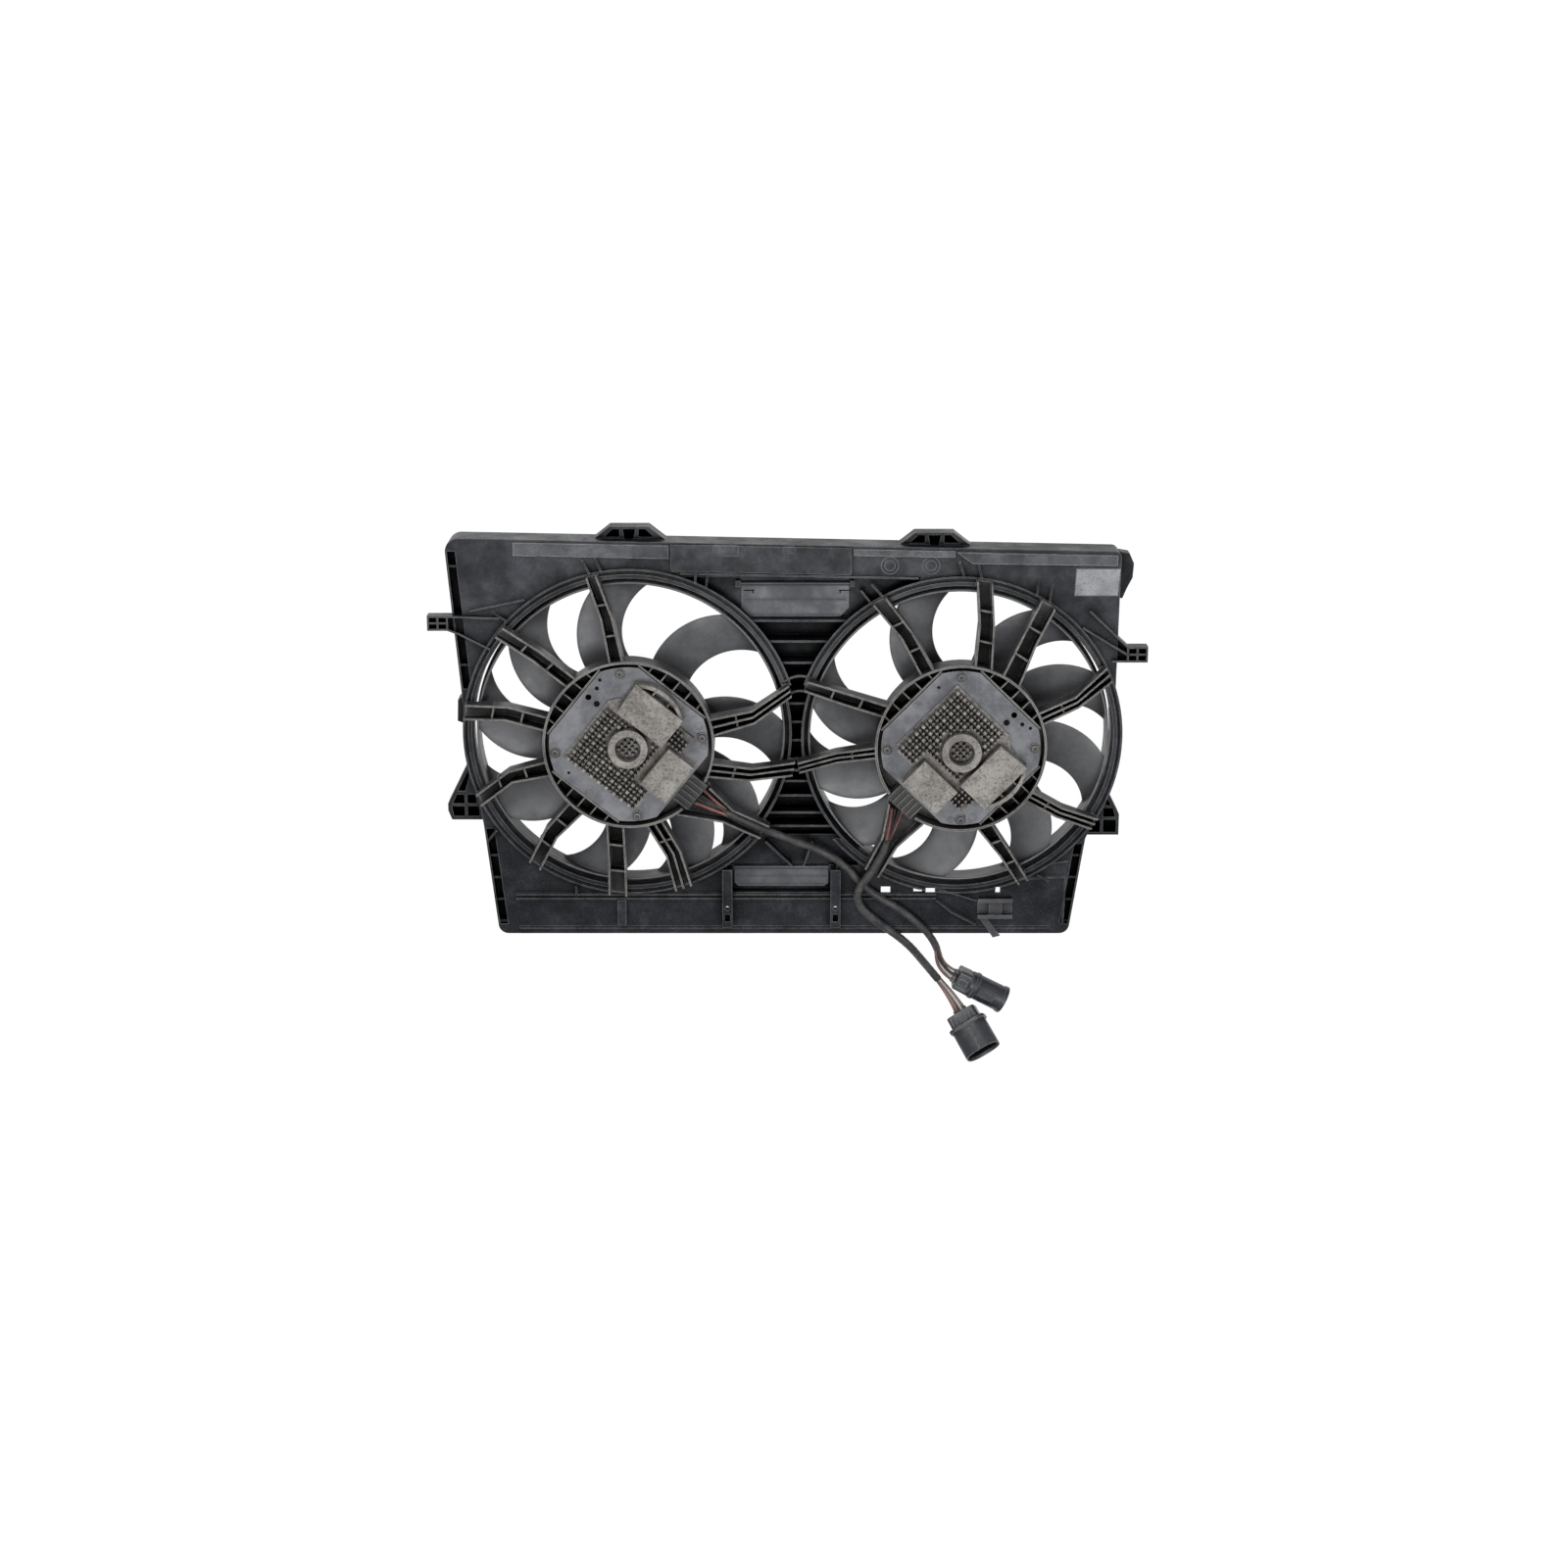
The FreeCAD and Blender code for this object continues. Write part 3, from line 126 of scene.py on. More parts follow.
def wornSurface(name, look):
    # base colour with slow tone changes, fine dust in patches, grit, pale worn edges and painted shade in
    # recesses, scratches both ways, moulded or cast grain in the bump, and rounded edges from the bevel node
    mat, tree, links = newMaterial(name)
    coords = tree.new("ShaderNodeTexCoord")
    shader = tree.new("ShaderNodeBsdfPrincipled")
    out = tree.new("ShaderNodeOutputMaterial")
    links.new(shader.outputs["BSDF"], out.inputs["Surface"])

    def times(a, b):
        return maths(tree, links, "MULTIPLY", a, b)

    slow = noiseNode(tree, links, coords, look.get("cloud", 13.0), 8.0, 0.68)
    patches = noiseNode(tree, links, coords, look.get("patch", 60.0), 12.0, 0.8)
    grit = noiseNode(tree, links, coords, look.get("grit", 420.0), 3.0, 0.7)
    streaks = noiseNode(tree, links, coords, 46.0, 8.0, 0.75, (1.0, 14.0, 4.0))
    rubbed = noiseNode(tree, links, coords, 38.0, 8.0, 0.75, (11.0, 1.3, 4.0))
    clouds = ramp(tree, links, slow.outputs["Fac"], 0.34, 0.66)
    tone = mixColour(tree, links, clouds, look["dark"], look["base"])
    split = tree.new("ShaderNodeSeparateXYZ")
    links.new(coords.outputs["Object"], split.inputs["Vector"])
    # painted shade towards the bottom, and a painted highlight on the low raised strips along the top edge
    upper = ramp(tree, links, split.outputs["Y"], *strips["fadeSpan"])
    # painted highlight on the raised top strips: their colour and reflections are lifted
    crest = ramp(tree, links, split.outputs["Y"], *strips["topSpan"])
    raised = ramp(tree, links, split.outputs["Z"], *strips["above"])
    higher = ramp(tree, links, split.outputs["Z"], *strips["below"])
    crest = times(times(crest, raised), maths(tree, links, "SUBTRACT", 1.0, higher))
    fade = maths(tree, links, "ADD", 1 - look.get("fade", 0.0), times(upper, look.get("fade", 0.0)))
    fade = maths(tree, links, "ADD", fade, times(crest, look.get("crest", 0.0)))

    dust = ramp(tree, links, patches.outputs["Fac"], look["dustFrom"], look["dustTo"])
    lying = times(times(dust, maths(tree, links, "ADD", times(clouds, 0.7), 0.3)), look["dust"])
    speckled = times(ramp(tree, links, grit.outputs["Fac"], 0.5, 0.72), look["specks"])
    across = times(ramp(tree, links, streaks.outputs["Fac"], 0.62, 0.8), look["scratches"])
    along = times(ramp(tree, links, rubbed.outputs["Fac"], 0.64, 0.8), look["scratches"] * 0.7)
    total = maths(tree, links, "MAXIMUM", maths(tree, links, "MAXIMUM", lying, speckled),
                  maths(tree, links, "MAXIMUM", across, along))
    dusty = mixColour(tree, links, total, tone, look["dustColour"])
    pitted = times(ramp(tree, links, grit.outputs["Fac"], 0.5, 0.3), look.get("pits", 0.3))
    dusty = mixColour(tree, links, pitted, dusty, look.get("pitColour", look["dark"]))
    worn = ramp(tree, links, edgeMask(tree, links, look.get("edge", 2.0) * mm), 0.004,
                look.get("edgeTo", 0.08))
    chipped = times(ramp(tree, links, patches.outputs["Fac"], 0.35, 0.6), 0.7)
    worn = times(worn, maths(tree, links, "ADD", chipped, 0.3))
    edged = mixColour(tree, links, times(worn, look.get("wear", 0.6)), dusty,
                      look.get("wearColour", look["dustColour"]))

    # painted shade: the occlusion node darkens colour and reflections in the part's own recesses
    hollow = tree.new("ShaderNodeAmbientOcclusion")
    hollow.samples = 8
    hollow.only_local = True
    hollow.inputs["Distance"].default_value = look.get("reach", 30.0) * mm
    paintedOcclusionShade = maths(tree, links, "POWER", hollow.outputs["AO"], look.get("depth", 1.2))
    # base colour times the painted occlusion shade and the painted shade and highlight by place
    shade = tree.new("ShaderNodeMix")
    shade.data_type = "RGBA"
    shade.blend_type = "MULTIPLY"
    shade.inputs["Factor"].default_value = 1.0
    links.new(edged, shade.inputs["A"])
    links.new(times(paintedOcclusionShade, fade), shade.inputs["B"])
    links.new(shade.outputs["Result"], shader.inputs["Base Color"])
    patchy = look.get("patchy", 0.3)
    gloss = maths(tree, links, "ADD", times(clouds, patchy * 2), 0.8)
    # reflections are also dimmed by the painted occlusion shade and the painted shade and highlight by place
    sheen = times(paintedOcclusionShade, maths(tree, links, "SUBTRACT", gloss, times(total, 0.5)))
    links.new(times(times(sheen, fade), look.get("specular", 0.25)), shader.inputs["Specular IOR Level"])

    rough = maths(tree, links, "ADD", look["rough"], times(total, 0.35))
    rough = maths(tree, links, "SUBTRACT", rough, times(maths(tree, links, "SUBTRACT", clouds, 0.5),
                                                        patchy * 0.4))
    links.new(rough, shader.inputs["Roughness"])
    shader.inputs["Metallic"].default_value = look["metal"]

    grain = noiseNode(tree, links, coords, look["grain"], 2.0, 0.5)
    warp = noiseNode(tree, links, coords, 26.0, 2.0, 0.5)
    height = maths(tree, links, "ADD", times(grain.outputs["Fac"], 0.5), times(total, 0.7))
    height = maths(tree, links, "ADD", height, times(warp.outputs["Fac"], 9.0))
    rounded = tree.new("ShaderNodeBevel")
    rounded.samples = 6
    rounded.inputs["Radius"].default_value = look.get("edge", 1.2) * 0.6 * mm
    bump = tree.new("ShaderNodeBump")
    bump.inputs["Strength"].default_value = look["bump"]
    bump.inputs["Distance"].default_value = 0.25 * mm
    links.new(height, bump.inputs["Height"])
    links.new(rounded.outputs["Normal"], bump.inputs["Normal"])
    links.new(bump.outputs["Normal"], shader.inputs["Normal"])
    return mat


wireLook = dict(dust=0.6, dustFrom=0.42, dustTo=0.7, specks=0.3, scratches=0.2, rough=0.45, metal=0.0,
                grain=600.0,
                bump=0.1, wear=0.0, depth=0.8, reach=5.0, cloud=40.0)
finishes = {
    "blackPlastic": dict(base=(0.0128, 0.0142, 0.0190), dark=(0.0055, 0.006, 0.0078),
                         # its pale bluish patches are partly dust and partly painted sheen
                         dustColour=(0.066, 0.072, 0.086),
                         dust=0.65, dustFrom=0.47, dustTo=0.66, specks=0.42, scratches=0.7, rough=0.34,
                         metal=0.0,
                         grain=1100.0, bump=0.35, wear=0.8, wearColour=(0.24, 0.24, 0.238), pits=0.7,
                         patchy=0.30,
                         # strengths of the painted shade towards the bottom and of the painted highlight on the
                         # top strips
                         specular=0.115, cloud=19.0, fade=0.22, crest=0.8, edge=1.5),
    "scuffedPlastic": dict(base=(0.12, 0.122, 0.13), dark=(0.08, 0.08, 0.085),
                           dustColour=(0.16, 0.16, 0.16), dust=0.7,
                           dustFrom=0.42, dustTo=0.7, specks=0.4, scratches=0.5, rough=0.45, metal=0.0,
                           grain=900.0,
                           bump=0.2, wear=0.0),
    "armPlastic": dict(base=(0.040, 0.040, 0.042), dark=(0.016, 0.016, 0.017),
                       dustColour=(0.125, 0.12, 0.112),
                       dust=0.8, dustFrom=0.45, dustTo=0.68, specks=0.4, scratches=0.5, rough=0.42, metal=0.0,
                       grain=1100.0, bump=0.4, wear=0.95, wearColour=(0.36, 0.345, 0.325), pits=0.5,
                       depth=0.9,
                       reach=20.0, patchy=0.4),
    "fanPlastic": dict(base=(0.094, 0.096, 0.102), dark=(0.048, 0.049, 0.054), dustColour=(0.14, 0.136, 0.13),
                       dust=0.6, dustFrom=0.46, dustTo=0.76, specks=0.15, scratches=0.3, rough=0.42,
                       metal=0.0,
                       grain=900.0, bump=0.25, wear=0.6, wearColour=(0.30, 0.29, 0.275), cloud=9.0,
                       reach=34.0),
    "housingPlastic": dict(base=(0.150, 0.155, 0.172), dark=(0.075, 0.078, 0.088),
                           dustColour=(0.24, 0.235, 0.23),
                           dust=0.7, dustFrom=0.45, dustTo=0.68, specks=0.45, scratches=0.35, rough=0.40,
                           metal=0.0,
                           grain=800.0, bump=0.4, wear=0.5, cloud=24.0, patch=90.0, pits=0.35, reach=12.0,
                           depth=1.0),
    "castAluminium": dict(base=(0.25, 0.237, 0.222), dark=(0.125, 0.117, 0.108),
                          dustColour=(0.35, 0.335, 0.31),
                          dust=0.55, dustFrom=0.44, dustTo=0.66, specks=0.75, scratches=0.1, rough=0.55,
                          metal=0.15,
                          grain=420.0, bump=0.9, wear=0.5, wearColour=(0.42, 0.40, 0.37), cloud=42.0,
                          patch=130.0,
                          grit=360.0, pits=0.85, pitColour=(0.045, 0.04, 0.036), reach=7.0, depth=1.1,
                          edge=0.8),
    "dustyPins": dict(base=(0.165, 0.154, 0.143), dark=(0.075, 0.07, 0.064), dustColour=(0.27, 0.255, 0.235),
                      dust=0.5, dustFrom=0.46, dustTo=0.68, specks=0.6, scratches=0.1, rough=0.55, metal=0.15,
                      grain=420.0, bump=0.9, wear=0.5, wearColour=(0.38, 0.36, 0.33), cloud=42.0, patch=130.0,
                      grit=360.0, pits=0.6, pitColour=(0.045, 0.04, 0.036), reach=7.0, depth=1.1, edge=0.8),
    "rotorSteel": dict(base=(0.42, 0.42, 0.43), dark=(0.30, 0.30, 0.31), dustColour=(0.2, 0.18, 0.15),
                       dust=0.3,
                       dustFrom=0.5, dustTo=0.8, specks=0.1, scratches=0.2, rough=0.32, metal=1.0,
                       grain=300.0, bump=0.12),
    "dullSteel": dict(base=(0.10, 0.10, 0.102), dark=(0.06, 0.06, 0.062), dustColour=(0.15, 0.14, 0.13),
                      dust=0.6,
                      dustFrom=0.4, dustTo=0.7, specks=0.4, scratches=0.2, rough=0.42, metal=0.5,
                      grain=400.0, bump=0.1),
    "coreSteel": dict(base=(0.26, 0.26, 0.27), dark=(0.17, 0.17, 0.18), dustColour=(0.2, 0.15, 0.1), dust=0.2,
                      dustFrom=0.5, dustTo=0.8, specks=0.1, scratches=0.1, rough=0.42, metal=1.0,
                      grain=500.0, bump=0.2),
    "magnetGrey": dict(base=(0.10, 0.10, 0.105), dark=(0.07, 0.07, 0.075), dustColour=(0.16, 0.15, 0.14),
                       dust=0.2,
                       dustFrom=0.5, dustTo=0.8, specks=0.1, scratches=0.1, rough=0.5, metal=0.4,
                       grain=500.0, bump=0.2),
    "copperWire": dict(base=(0.58, 0.26, 0.12), dark=(0.42, 0.17, 0.08), dustColour=(0.2, 0.13, 0.08),
                       dust=0.2,
                       dustFrom=0.5, dustTo=0.8, specks=0.1, scratches=0.1, rough=0.3, metal=0.9,
                       grain=600.0, bump=0.3),
    "circuitGreen": dict(base=(0.03, 0.14, 0.06), dark=(0.02, 0.09, 0.04), dustColour=(0.15, 0.15, 0.13),
                         dust=0.15,
                         dustFrom=0.5, dustTo=0.8, specks=0.1, scratches=0.05, rough=0.35, metal=0.0,
                         grain=700.0,
                         bump=0.15),
    "plugPlastic": dict(base=(0.040, 0.040, 0.042), dark=(0.020, 0.020, 0.021),
                        dustColour=(0.15, 0.142, 0.13),
                        dust=0.7, dustFrom=0.42, dustTo=0.7, specks=0.35, scratches=0.4, rough=0.42,
                        metal=0.0,
                        grain=1000.0, bump=0.3, wear=0.8, reach=12.0, edge=0.9),
    "connectorPlastic": dict(base=(0.019, 0.020, 0.026), dark=(0.009, 0.0095, 0.013),
                             dustColour=(0.07, 0.071, 0.078),
                             dust=0.4, dustFrom=0.46, dustTo=0.72, specks=0.2, scratches=0.5, rough=0.34,
                             metal=0.0,
                             grain=1000.0, bump=0.15, wear=0.9, wearColour=(0.24, 0.24, 0.25), reach=14.0,
                             edge=1.0,
                             specular=0.36),
    "cableSheath": dict(base=(0.036, 0.036, 0.038), dark=(0.015, 0.015, 0.016),
                        dustColour=(0.12, 0.115, 0.105),
                        dust=0.75, dustFrom=0.44, dustTo=0.68, specks=0.3, scratches=0.3, rough=0.44,
                        metal=0.0,
                        grain=800.0, bump=0.4, wear=0.0, depth=0.8, reach=10.0, cloud=40.0),
    "redWire": dict(wireLook, base=(0.27, 0.115, 0.10), dark=(0.15, 0.06, 0.055),
                    dustColour=(0.17, 0.13, 0.12)),
    "brownWire": dict(wireLook, base=(0.20, 0.125, 0.10), dark=(0.12, 0.075, 0.06),
                      dustColour=(0.24, 0.21, 0.19),
                      dust=0.5, dustFrom=0.4),
    "whiteWire": dict(wireLook, base=(0.50, 0.49, 0.48), dark=(0.33, 0.32, 0.31),
                      dustColour=(0.24, 0.21, 0.19),
                      dustFrom=0.4),
    "blackWire": dict(wireLook, base=(0.026, 0.026, 0.028), dark=(0.014, 0.014, 0.015),
                      dustColour=(0.12, 0.11, 0.10),
                      dust=0.5, specks=0.25, rough=0.4),
    "sealGrey": dict(base=(0.16, 0.16, 0.165), dark=(0.09, 0.09, 0.094), dustColour=(0.26, 0.255, 0.25),
                     dust=0.5,
                     dustFrom=0.42, dustTo=0.7, specks=0.3, scratches=0.1, rough=0.45, metal=0.0,
                     grain=600.0, bump=0.1,
                     wear=0.0, depth=0.7, reach=4.0, cloud=50.0),
    # painted shade: near-black for thin sheets in the connector mouths, the plate's blind holes and the flap's
    # slits
    "deepBlack": dict(base=(0.004, 0.004, 0.004), dark=(0.003, 0.003, 0.003), dustColour=(0.02, 0.02, 0.02),
                      dust=0.2,
                      dustFrom=0.5, dustTo=0.8, specks=0.0, scratches=0.0, rough=0.7, metal=0.0,
                      grain=600.0, bump=0.1,
                      wear=0.0, depth=0.5, specular=0.05),
    "paleLabel": dict(base=(0.34, 0.345, 0.355), dark=(0.20, 0.205, 0.215), dustColour=(0.10, 0.103, 0.107),
                      dust=0.7,
                      dustFrom=0.42, dustTo=0.66, specks=0.7, scratches=0.8, rough=0.5, metal=0.0,
                      grain=900.0, bump=0.3,
                      wear=0.0, depth=0.2, cloud=60.0, patch=120.0),
    "flapPlastic": dict(base=(0.034, 0.037, 0.045), dark=(0.020, 0.022, 0.028),
                        dustColour=(0.11, 0.113, 0.12),
                        dust=0.6, dustFrom=0.45, dustTo=0.72, specks=0.25, scratches=0.55, rough=0.42,
                        metal=0.0,
                        grain=1000.0, bump=0.3, wear=0.6, reach=10.0, depth=0.7, specular=0.4),
}
materials = {name: wornSurface(name, look) for name, look in finishes.items()}
print("materials made:", len(materials))

nodeFinish = {
    "shroud_frame": "blackPlastic", "upper_flap": "flapPlastic", "lower_flap": "flapPlastic",
    "harness_clip": "connectorPlastic", "motor_bearings": "dullSteel", "stator_cores": "coreSteel",
    "stator_windings": "copperWire",
    "control_boards": "circuitGreen", "motor_carrier": "armPlastic", "fan": "fanPlastic",
    "motor_housing": "housingPlastic",
    "heat_sink": "castAluminium", "rotor_bell": "rotorSteel", "rotor_magnets": "magnetGrey",
    "motor_shaft": "dullSteel",
    "motor_plug": "plugPlastic", "cable": "connectorPlastic", "round_connector": "connectorPlastic",
    "oval_connector": "connectorPlastic",
}


def finishOf(name):
    # the finish of a node, whichever side it is on
    plain = name.replace("left_", "").replace("right_", "")
    return nodeFinish.get(name, nodeFinish.get(plain, "blackPlastic"))


for name, obj in nodes.items():
    obj.data.materials.clear()
    obj.data.materials.append(materials[finishOf(name)])
print("frame nodes dressed")


def polarPoint(centre, radius, turn):
    angle = np.radians(turn)
    return centre[0] + radius * np.cos(angle), centre[1] + radius * np.sin(angle)


def gridFaces(rows, cols, wrapRows=False, wrapCols=False):
    # quads over a rows by cols grid of points
    r = np.arange(rows if wrapRows else rows - 1)
    c = np.arange(cols if wrapCols else cols - 1)
    r, c = np.meshgrid(r, c, indexing="ij")
    r2, c2 = (r + 1) % rows, (c + 1) % cols
    return np.stack([r * cols + c, r2 * cols + c, r2 * cols + c2, r * cols + c2], axis=-1).reshape(-1, 4)


def outward(mesh):
    # every closed shell's faces turned outwards
    work = bmesh.new()
    work.from_mesh(mesh)
    bmesh.ops.recalc_face_normals(work, faces=work.faces)
    work.to_mesh(mesh)
    work.free()


def buildMesh(name, points, faces, finish, body, slotName, sharp=0.6, turnOutward=False):
    # points in millimetres (n, 3); faces a list of index lists or an (m, k) array; sharp in radians
    mesh = bpy.data.meshes.new(name)
    faceList = faces.tolist() if isinstance(faces, np.ndarray) else faces
    mesh.from_pydata((np.asarray(points, float) * mm).tolist(), [], faceList)
    mesh.validate()
    if turnOutward:
        outward(mesh)
    mesh.update()
    mesh.materials.append(materials[finish])
    obj = bpy.data.objects.new(name, mesh)
    bpy.context.scene.collection.objects.link(obj)
    mesh.shade_smooth()
    mesh.set_sharp_from_angle(angle=sharp)
    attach(obj, body)
    return obj


stage = {
    "floorTone": 0.92, "floorGlow": 1.12, "floorMix": 0.88, "floorHalf": 6.0, "floorDrop": -0.0012,
    "skyTone": (0.93, 0.96, 1.0), "skyStrength": 0.2, "backdropStrength": 1.0,
    "lamps": {"softbox": dict(place=(0.0, -0.3, 2.75), size=(1.7, 0.62), power=40.0),
              "keyLamp": dict(place=(-1.4, 1.7, 2.2), size=(1.1, 0.8), power=34.0),
              "fillLamp": dict(place=(1.9, 0.1, 1.9), size=(0.6, 1.4), power=20.0)},
    "sensor": 36.0, "lens": 64.2857, "cameraPlace": (-0.0042, 0.7685, 2.9005), "cameraTilt": -16.0,
}


def seenRays(tree, links):
    # 1 for camera, glossy and transmission rays
    path = tree.new("ShaderNodeLightPath")
    return maths(tree, links, "MAXIMUM", path.outputs["Is Camera Ray"],
                 maths(tree, links, "MAXIMUM", path.outputs["Is Glossy Ray"],
                       path.outputs["Is Transmission Ray"]))


def makeFloor():
    # pale floor that glows towards the camera and still takes the shadow
    floorMat, tree, links = newMaterial("paleFloor")
    seen = seenRays(tree, links)
    diffuse = tree.new("ShaderNodeBsdfDiffuse")
    diffuse.inputs["Color"].default_value = (stage["floorTone"],) * 3 + (1,)
    glow = tree.new("ShaderNodeEmission")
    glow.inputs["Color"].default_value = (1, 1, 1, 1)
    glow.inputs["Strength"].default_value = stage["floorGlow"]
    mix = tree.new("ShaderNodeMixShader")
    out = tree.new("ShaderNodeOutputMaterial")
    links.new(maths(tree, links, "MULTIPLY", seen, stage["floorMix"]), mix.inputs["Fac"])
    links.new(diffuse.outputs["BSDF"], mix.inputs[1])
    links.new(glow.outputs["Emission"], mix.inputs[2])
    links.new(mix.outputs["Shader"], out.inputs["Surface"])
    half, drop = stage["floorHalf"], stage["floorDrop"]
    mesh = bpy.data.meshes.new("floor")
    mesh.from_pydata([(-half, -half, drop), (half, -half, drop), (half, half, drop), (-half, half, drop)],
                     [], [(0, 1, 2, 3)])
    mesh.materials.append(floorMat)
    floor = bpy.data.objects.new("floor", mesh)
    bpy.context.scene.collection.objects.link(floor)


def makeWorld():
    # white for the rays that see it, soft cool light for the rest
    world = bpy.data.worlds.new("studio")
    bpy.context.scene.world = world
    world.use_nodes = True
    tree, links = world.node_tree.nodes, world.node_tree.links
    tree.clear()
    seen = seenRays(tree, links)
    ambient = tree.new("ShaderNodeBackground")
    ambient.inputs["Color"].default_value = (*stage["skyTone"], 1)
    ambient.inputs["Strength"].default_value = stage["skyStrength"]
    backdrop = tree.new("ShaderNodeBackground")
    backdrop.inputs["Color"].default_value = (1, 1, 1, 1)
    backdrop.inputs["Strength"].default_value = stage["backdropStrength"]
    mix = tree.new("ShaderNodeMixShader")
    out = tree.new("ShaderNodeOutputWorld")
    links.new(seen, mix.inputs["Fac"])
    links.new(ambient.outputs["Background"], mix.inputs[1])
    links.new(backdrop.outputs["Background"], mix.inputs[2])
    links.new(mix.outputs["Shader"], out.inputs["Surface"])


def makeLamps():
    # lamps aimed at the middle of the part; power in watts
    for name, lamp in stage["lamps"].items():
        light = bpy.data.lights.new(name, "AREA")
        light.shape = "RECTANGLE"
        light.size, light.size_y = lamp["size"]
        light.energy = lamp["power"]
        obj = bpy.data.objects.new(name, light)
        obj.location = lamp["place"]
        obj.rotation_euler = (-Vector(lamp["place"])).to_track_quat("-Z", "Y").to_euler()
        bpy.context.scene.collection.objects.link(obj)


def makeCamera():
    camera = bpy.data.cameras.new("camera")
    camera.sensor_width = stage["sensor"]
    camera.lens = stage["lens"]
    cameraObj = bpy.data.objects.new("camera", camera)
    cameraObj.location = stage["cameraPlace"]
    cameraObj.rotation_euler = (math.radians(stage["cameraTilt"]), 0, 0)
    bpy.context.scene.collection.objects.link(cameraObj)
    bpy.context.scene.camera = cameraObj
    bpy.context.scene.view_settings.view_transform = "Standard"


makeFloor()
makeWorld()
makeLamps()
makeCamera()
print("stage set")


# each connector's rear face and the way that its mouth points
roundPlug = {"place": (184.0, -277.5, 16.2), "turn": -27.6, "lift": 0.0}
ovalPlug = {"place": (190.0, -318.0, 20.0), "turn": -56.9, "lift": 32.0}


def behind(plug, distance):
    # point straight behind a connector's rear face
    lift, turn = math.radians(plug["lift"]), math.radians(plug["turn"])
    x, y, z = plug["place"]
    flat = distance * math.cos(lift)
    return (x - flat * math.cos(turn), y - flat * math.sin(turn), z - distance * math.sin(lift))


# bare is the length without sheath at the motor and at the connector
cables = {
    "left": dict(node="left_cable", radius=4.4,
                 route=[(-93, -55.1, 77), (-60.6, -80.4, 62), (-12, -104.5, 50), (55, -132, 45.5),
                        (84, -169, 46.3),
                        (126, -192, 47), (160, -226, 45), behind(roundPlug, 20), roundPlug["place"]],
                 bare=(34.0, 52.0), wires=("redWire", "blackWire", "blackWire", "redWire"),
                 tail=("brownWire", "blackWire", "whiteWire", "brownWire")),
    "right": dict(node="right_cable", radius=4.7,
                  route=[(113.2, -68.3, 76.5), (106, -108.5, 65), (92, -141, 57), (70, -170, 56),
                         (84, -196, 48),
                         (126, -225, 46), (150, -262, 19), behind(ovalPlug, 22), ovalPlug["place"]],
                  bare=(38.0, 46.0), wires=("redWire", "blackWire", "blackWire", "redWire", "brownWire"),
                  tail=("brownWire", "whiteWire", "blackWire", "brownWire", "redWire")),
}


def routeLine(points):
    # the smooth line that the route's points pull into shape, in millimetres
    curve = bpy.data.curves.new("route", "CURVE")
    curve.dimensions = "3D"
    curve.resolution_u = 24
    spline = curve.splines.new("NURBS")
    spline.points.add(len(points) - 1)
    for point, place in zip(spline.points, points):
        point.co = (*place, 1.0)
    spline.order_u = 3
    spline.use_endpoint_u = True
    obj = bpy.data.objects.new("route", curve)
    mesh = bpy.data.meshes.new_from_object(obj)
    line = np.array([v.co[:] for v in mesh.vertices])
    bpy.data.objects.remove(obj)
    bpy.data.curves.remove(curve)
    bpy.data.meshes.remove(mesh)
    return line


def arcLength(line):
    return np.concatenate([[0.0], np.cumsum(np.linalg.norm(np.diff(line, axis=0), axis=1))])


def resample(line, step):
    # points at even distances along the line
    along = arcLength(line)
    count = max(3, int(math.ceil(along[-1] / step)) + 1)
    marks = np.linspace(0, along[-1], count)
    return np.stack([np.interp(marks, along, line[:, axis]) for axis in range(3)], axis=1)


def sideways(line):
    # two unit vectors square to the line at each point; the first stays level
    ahead = np.gradient(line, axis=0)
    ahead /= np.linalg.norm(ahead, axis=1, keepdims=True)
    level = np.cross(ahead, [0, 0, 1.0])
    level /= np.linalg.norm(level, axis=1, keepdims=True)
    return level, np.cross(level, ahead)


def tubePoints(line, radii, sides=14):
    # ring k round point i: line[i] + radii[i] * (cos(t) * level + sin(t) * up)
    level, up = sideways(line)
    t = np.linspace(0, 2 * np.pi, sides, endpoint=False)
    ring = np.cos(t)[None, :, None] * level[:, None, :] + np.sin(t)[None, :, None] * up[:, None, :]
    points = (line[:, None, :] + np.asarray(radii)[:, None, None] * ring).reshape(-1, 3)
    faces = gridFaces(len(line), sides, wrapCols=True)[:, ::-1].tolist()
    faces += [list(range(sides)), list(range((len(line) - 1) * sides, len(line) * sides))[::-1]]
    return points, faces


def joinParts(parts):
    # several (points, faces) pairs as one
    points, faces, start = [], [], 0
    for partPoints, partFaces in parts:
        points.append(np.asarray(partPoints, float))
        faces += [[index + start for index in face] for face in (
            partFaces.tolist() if isinstance(partFaces, np.ndarray) else partFaces)]
        start += len(partPoints)
    return np.concatenate(points), faces


def boxPart(x0, x1, y0, y1, z0, z1, taper=0.0):
    # block whose top is drawn in by taper on every side
    low = [(x0, y0, z0), (x1, y0, z0), (x1, y1, z0), (x0, y1, z0)]
    high = [(x0 + taper, y0 + taper, z1), (x1 - taper, y0 + taper, z1),
            (x1 - taper, y1 - taper, z1), (x0 + taper, y1 - taper, z1)]
    return low + high, [[3, 2, 1, 0], [4, 5, 6, 7], [0, 1, 5, 4], [1, 2, 6, 5], [2, 3, 7, 6], [3, 0, 4, 7]]


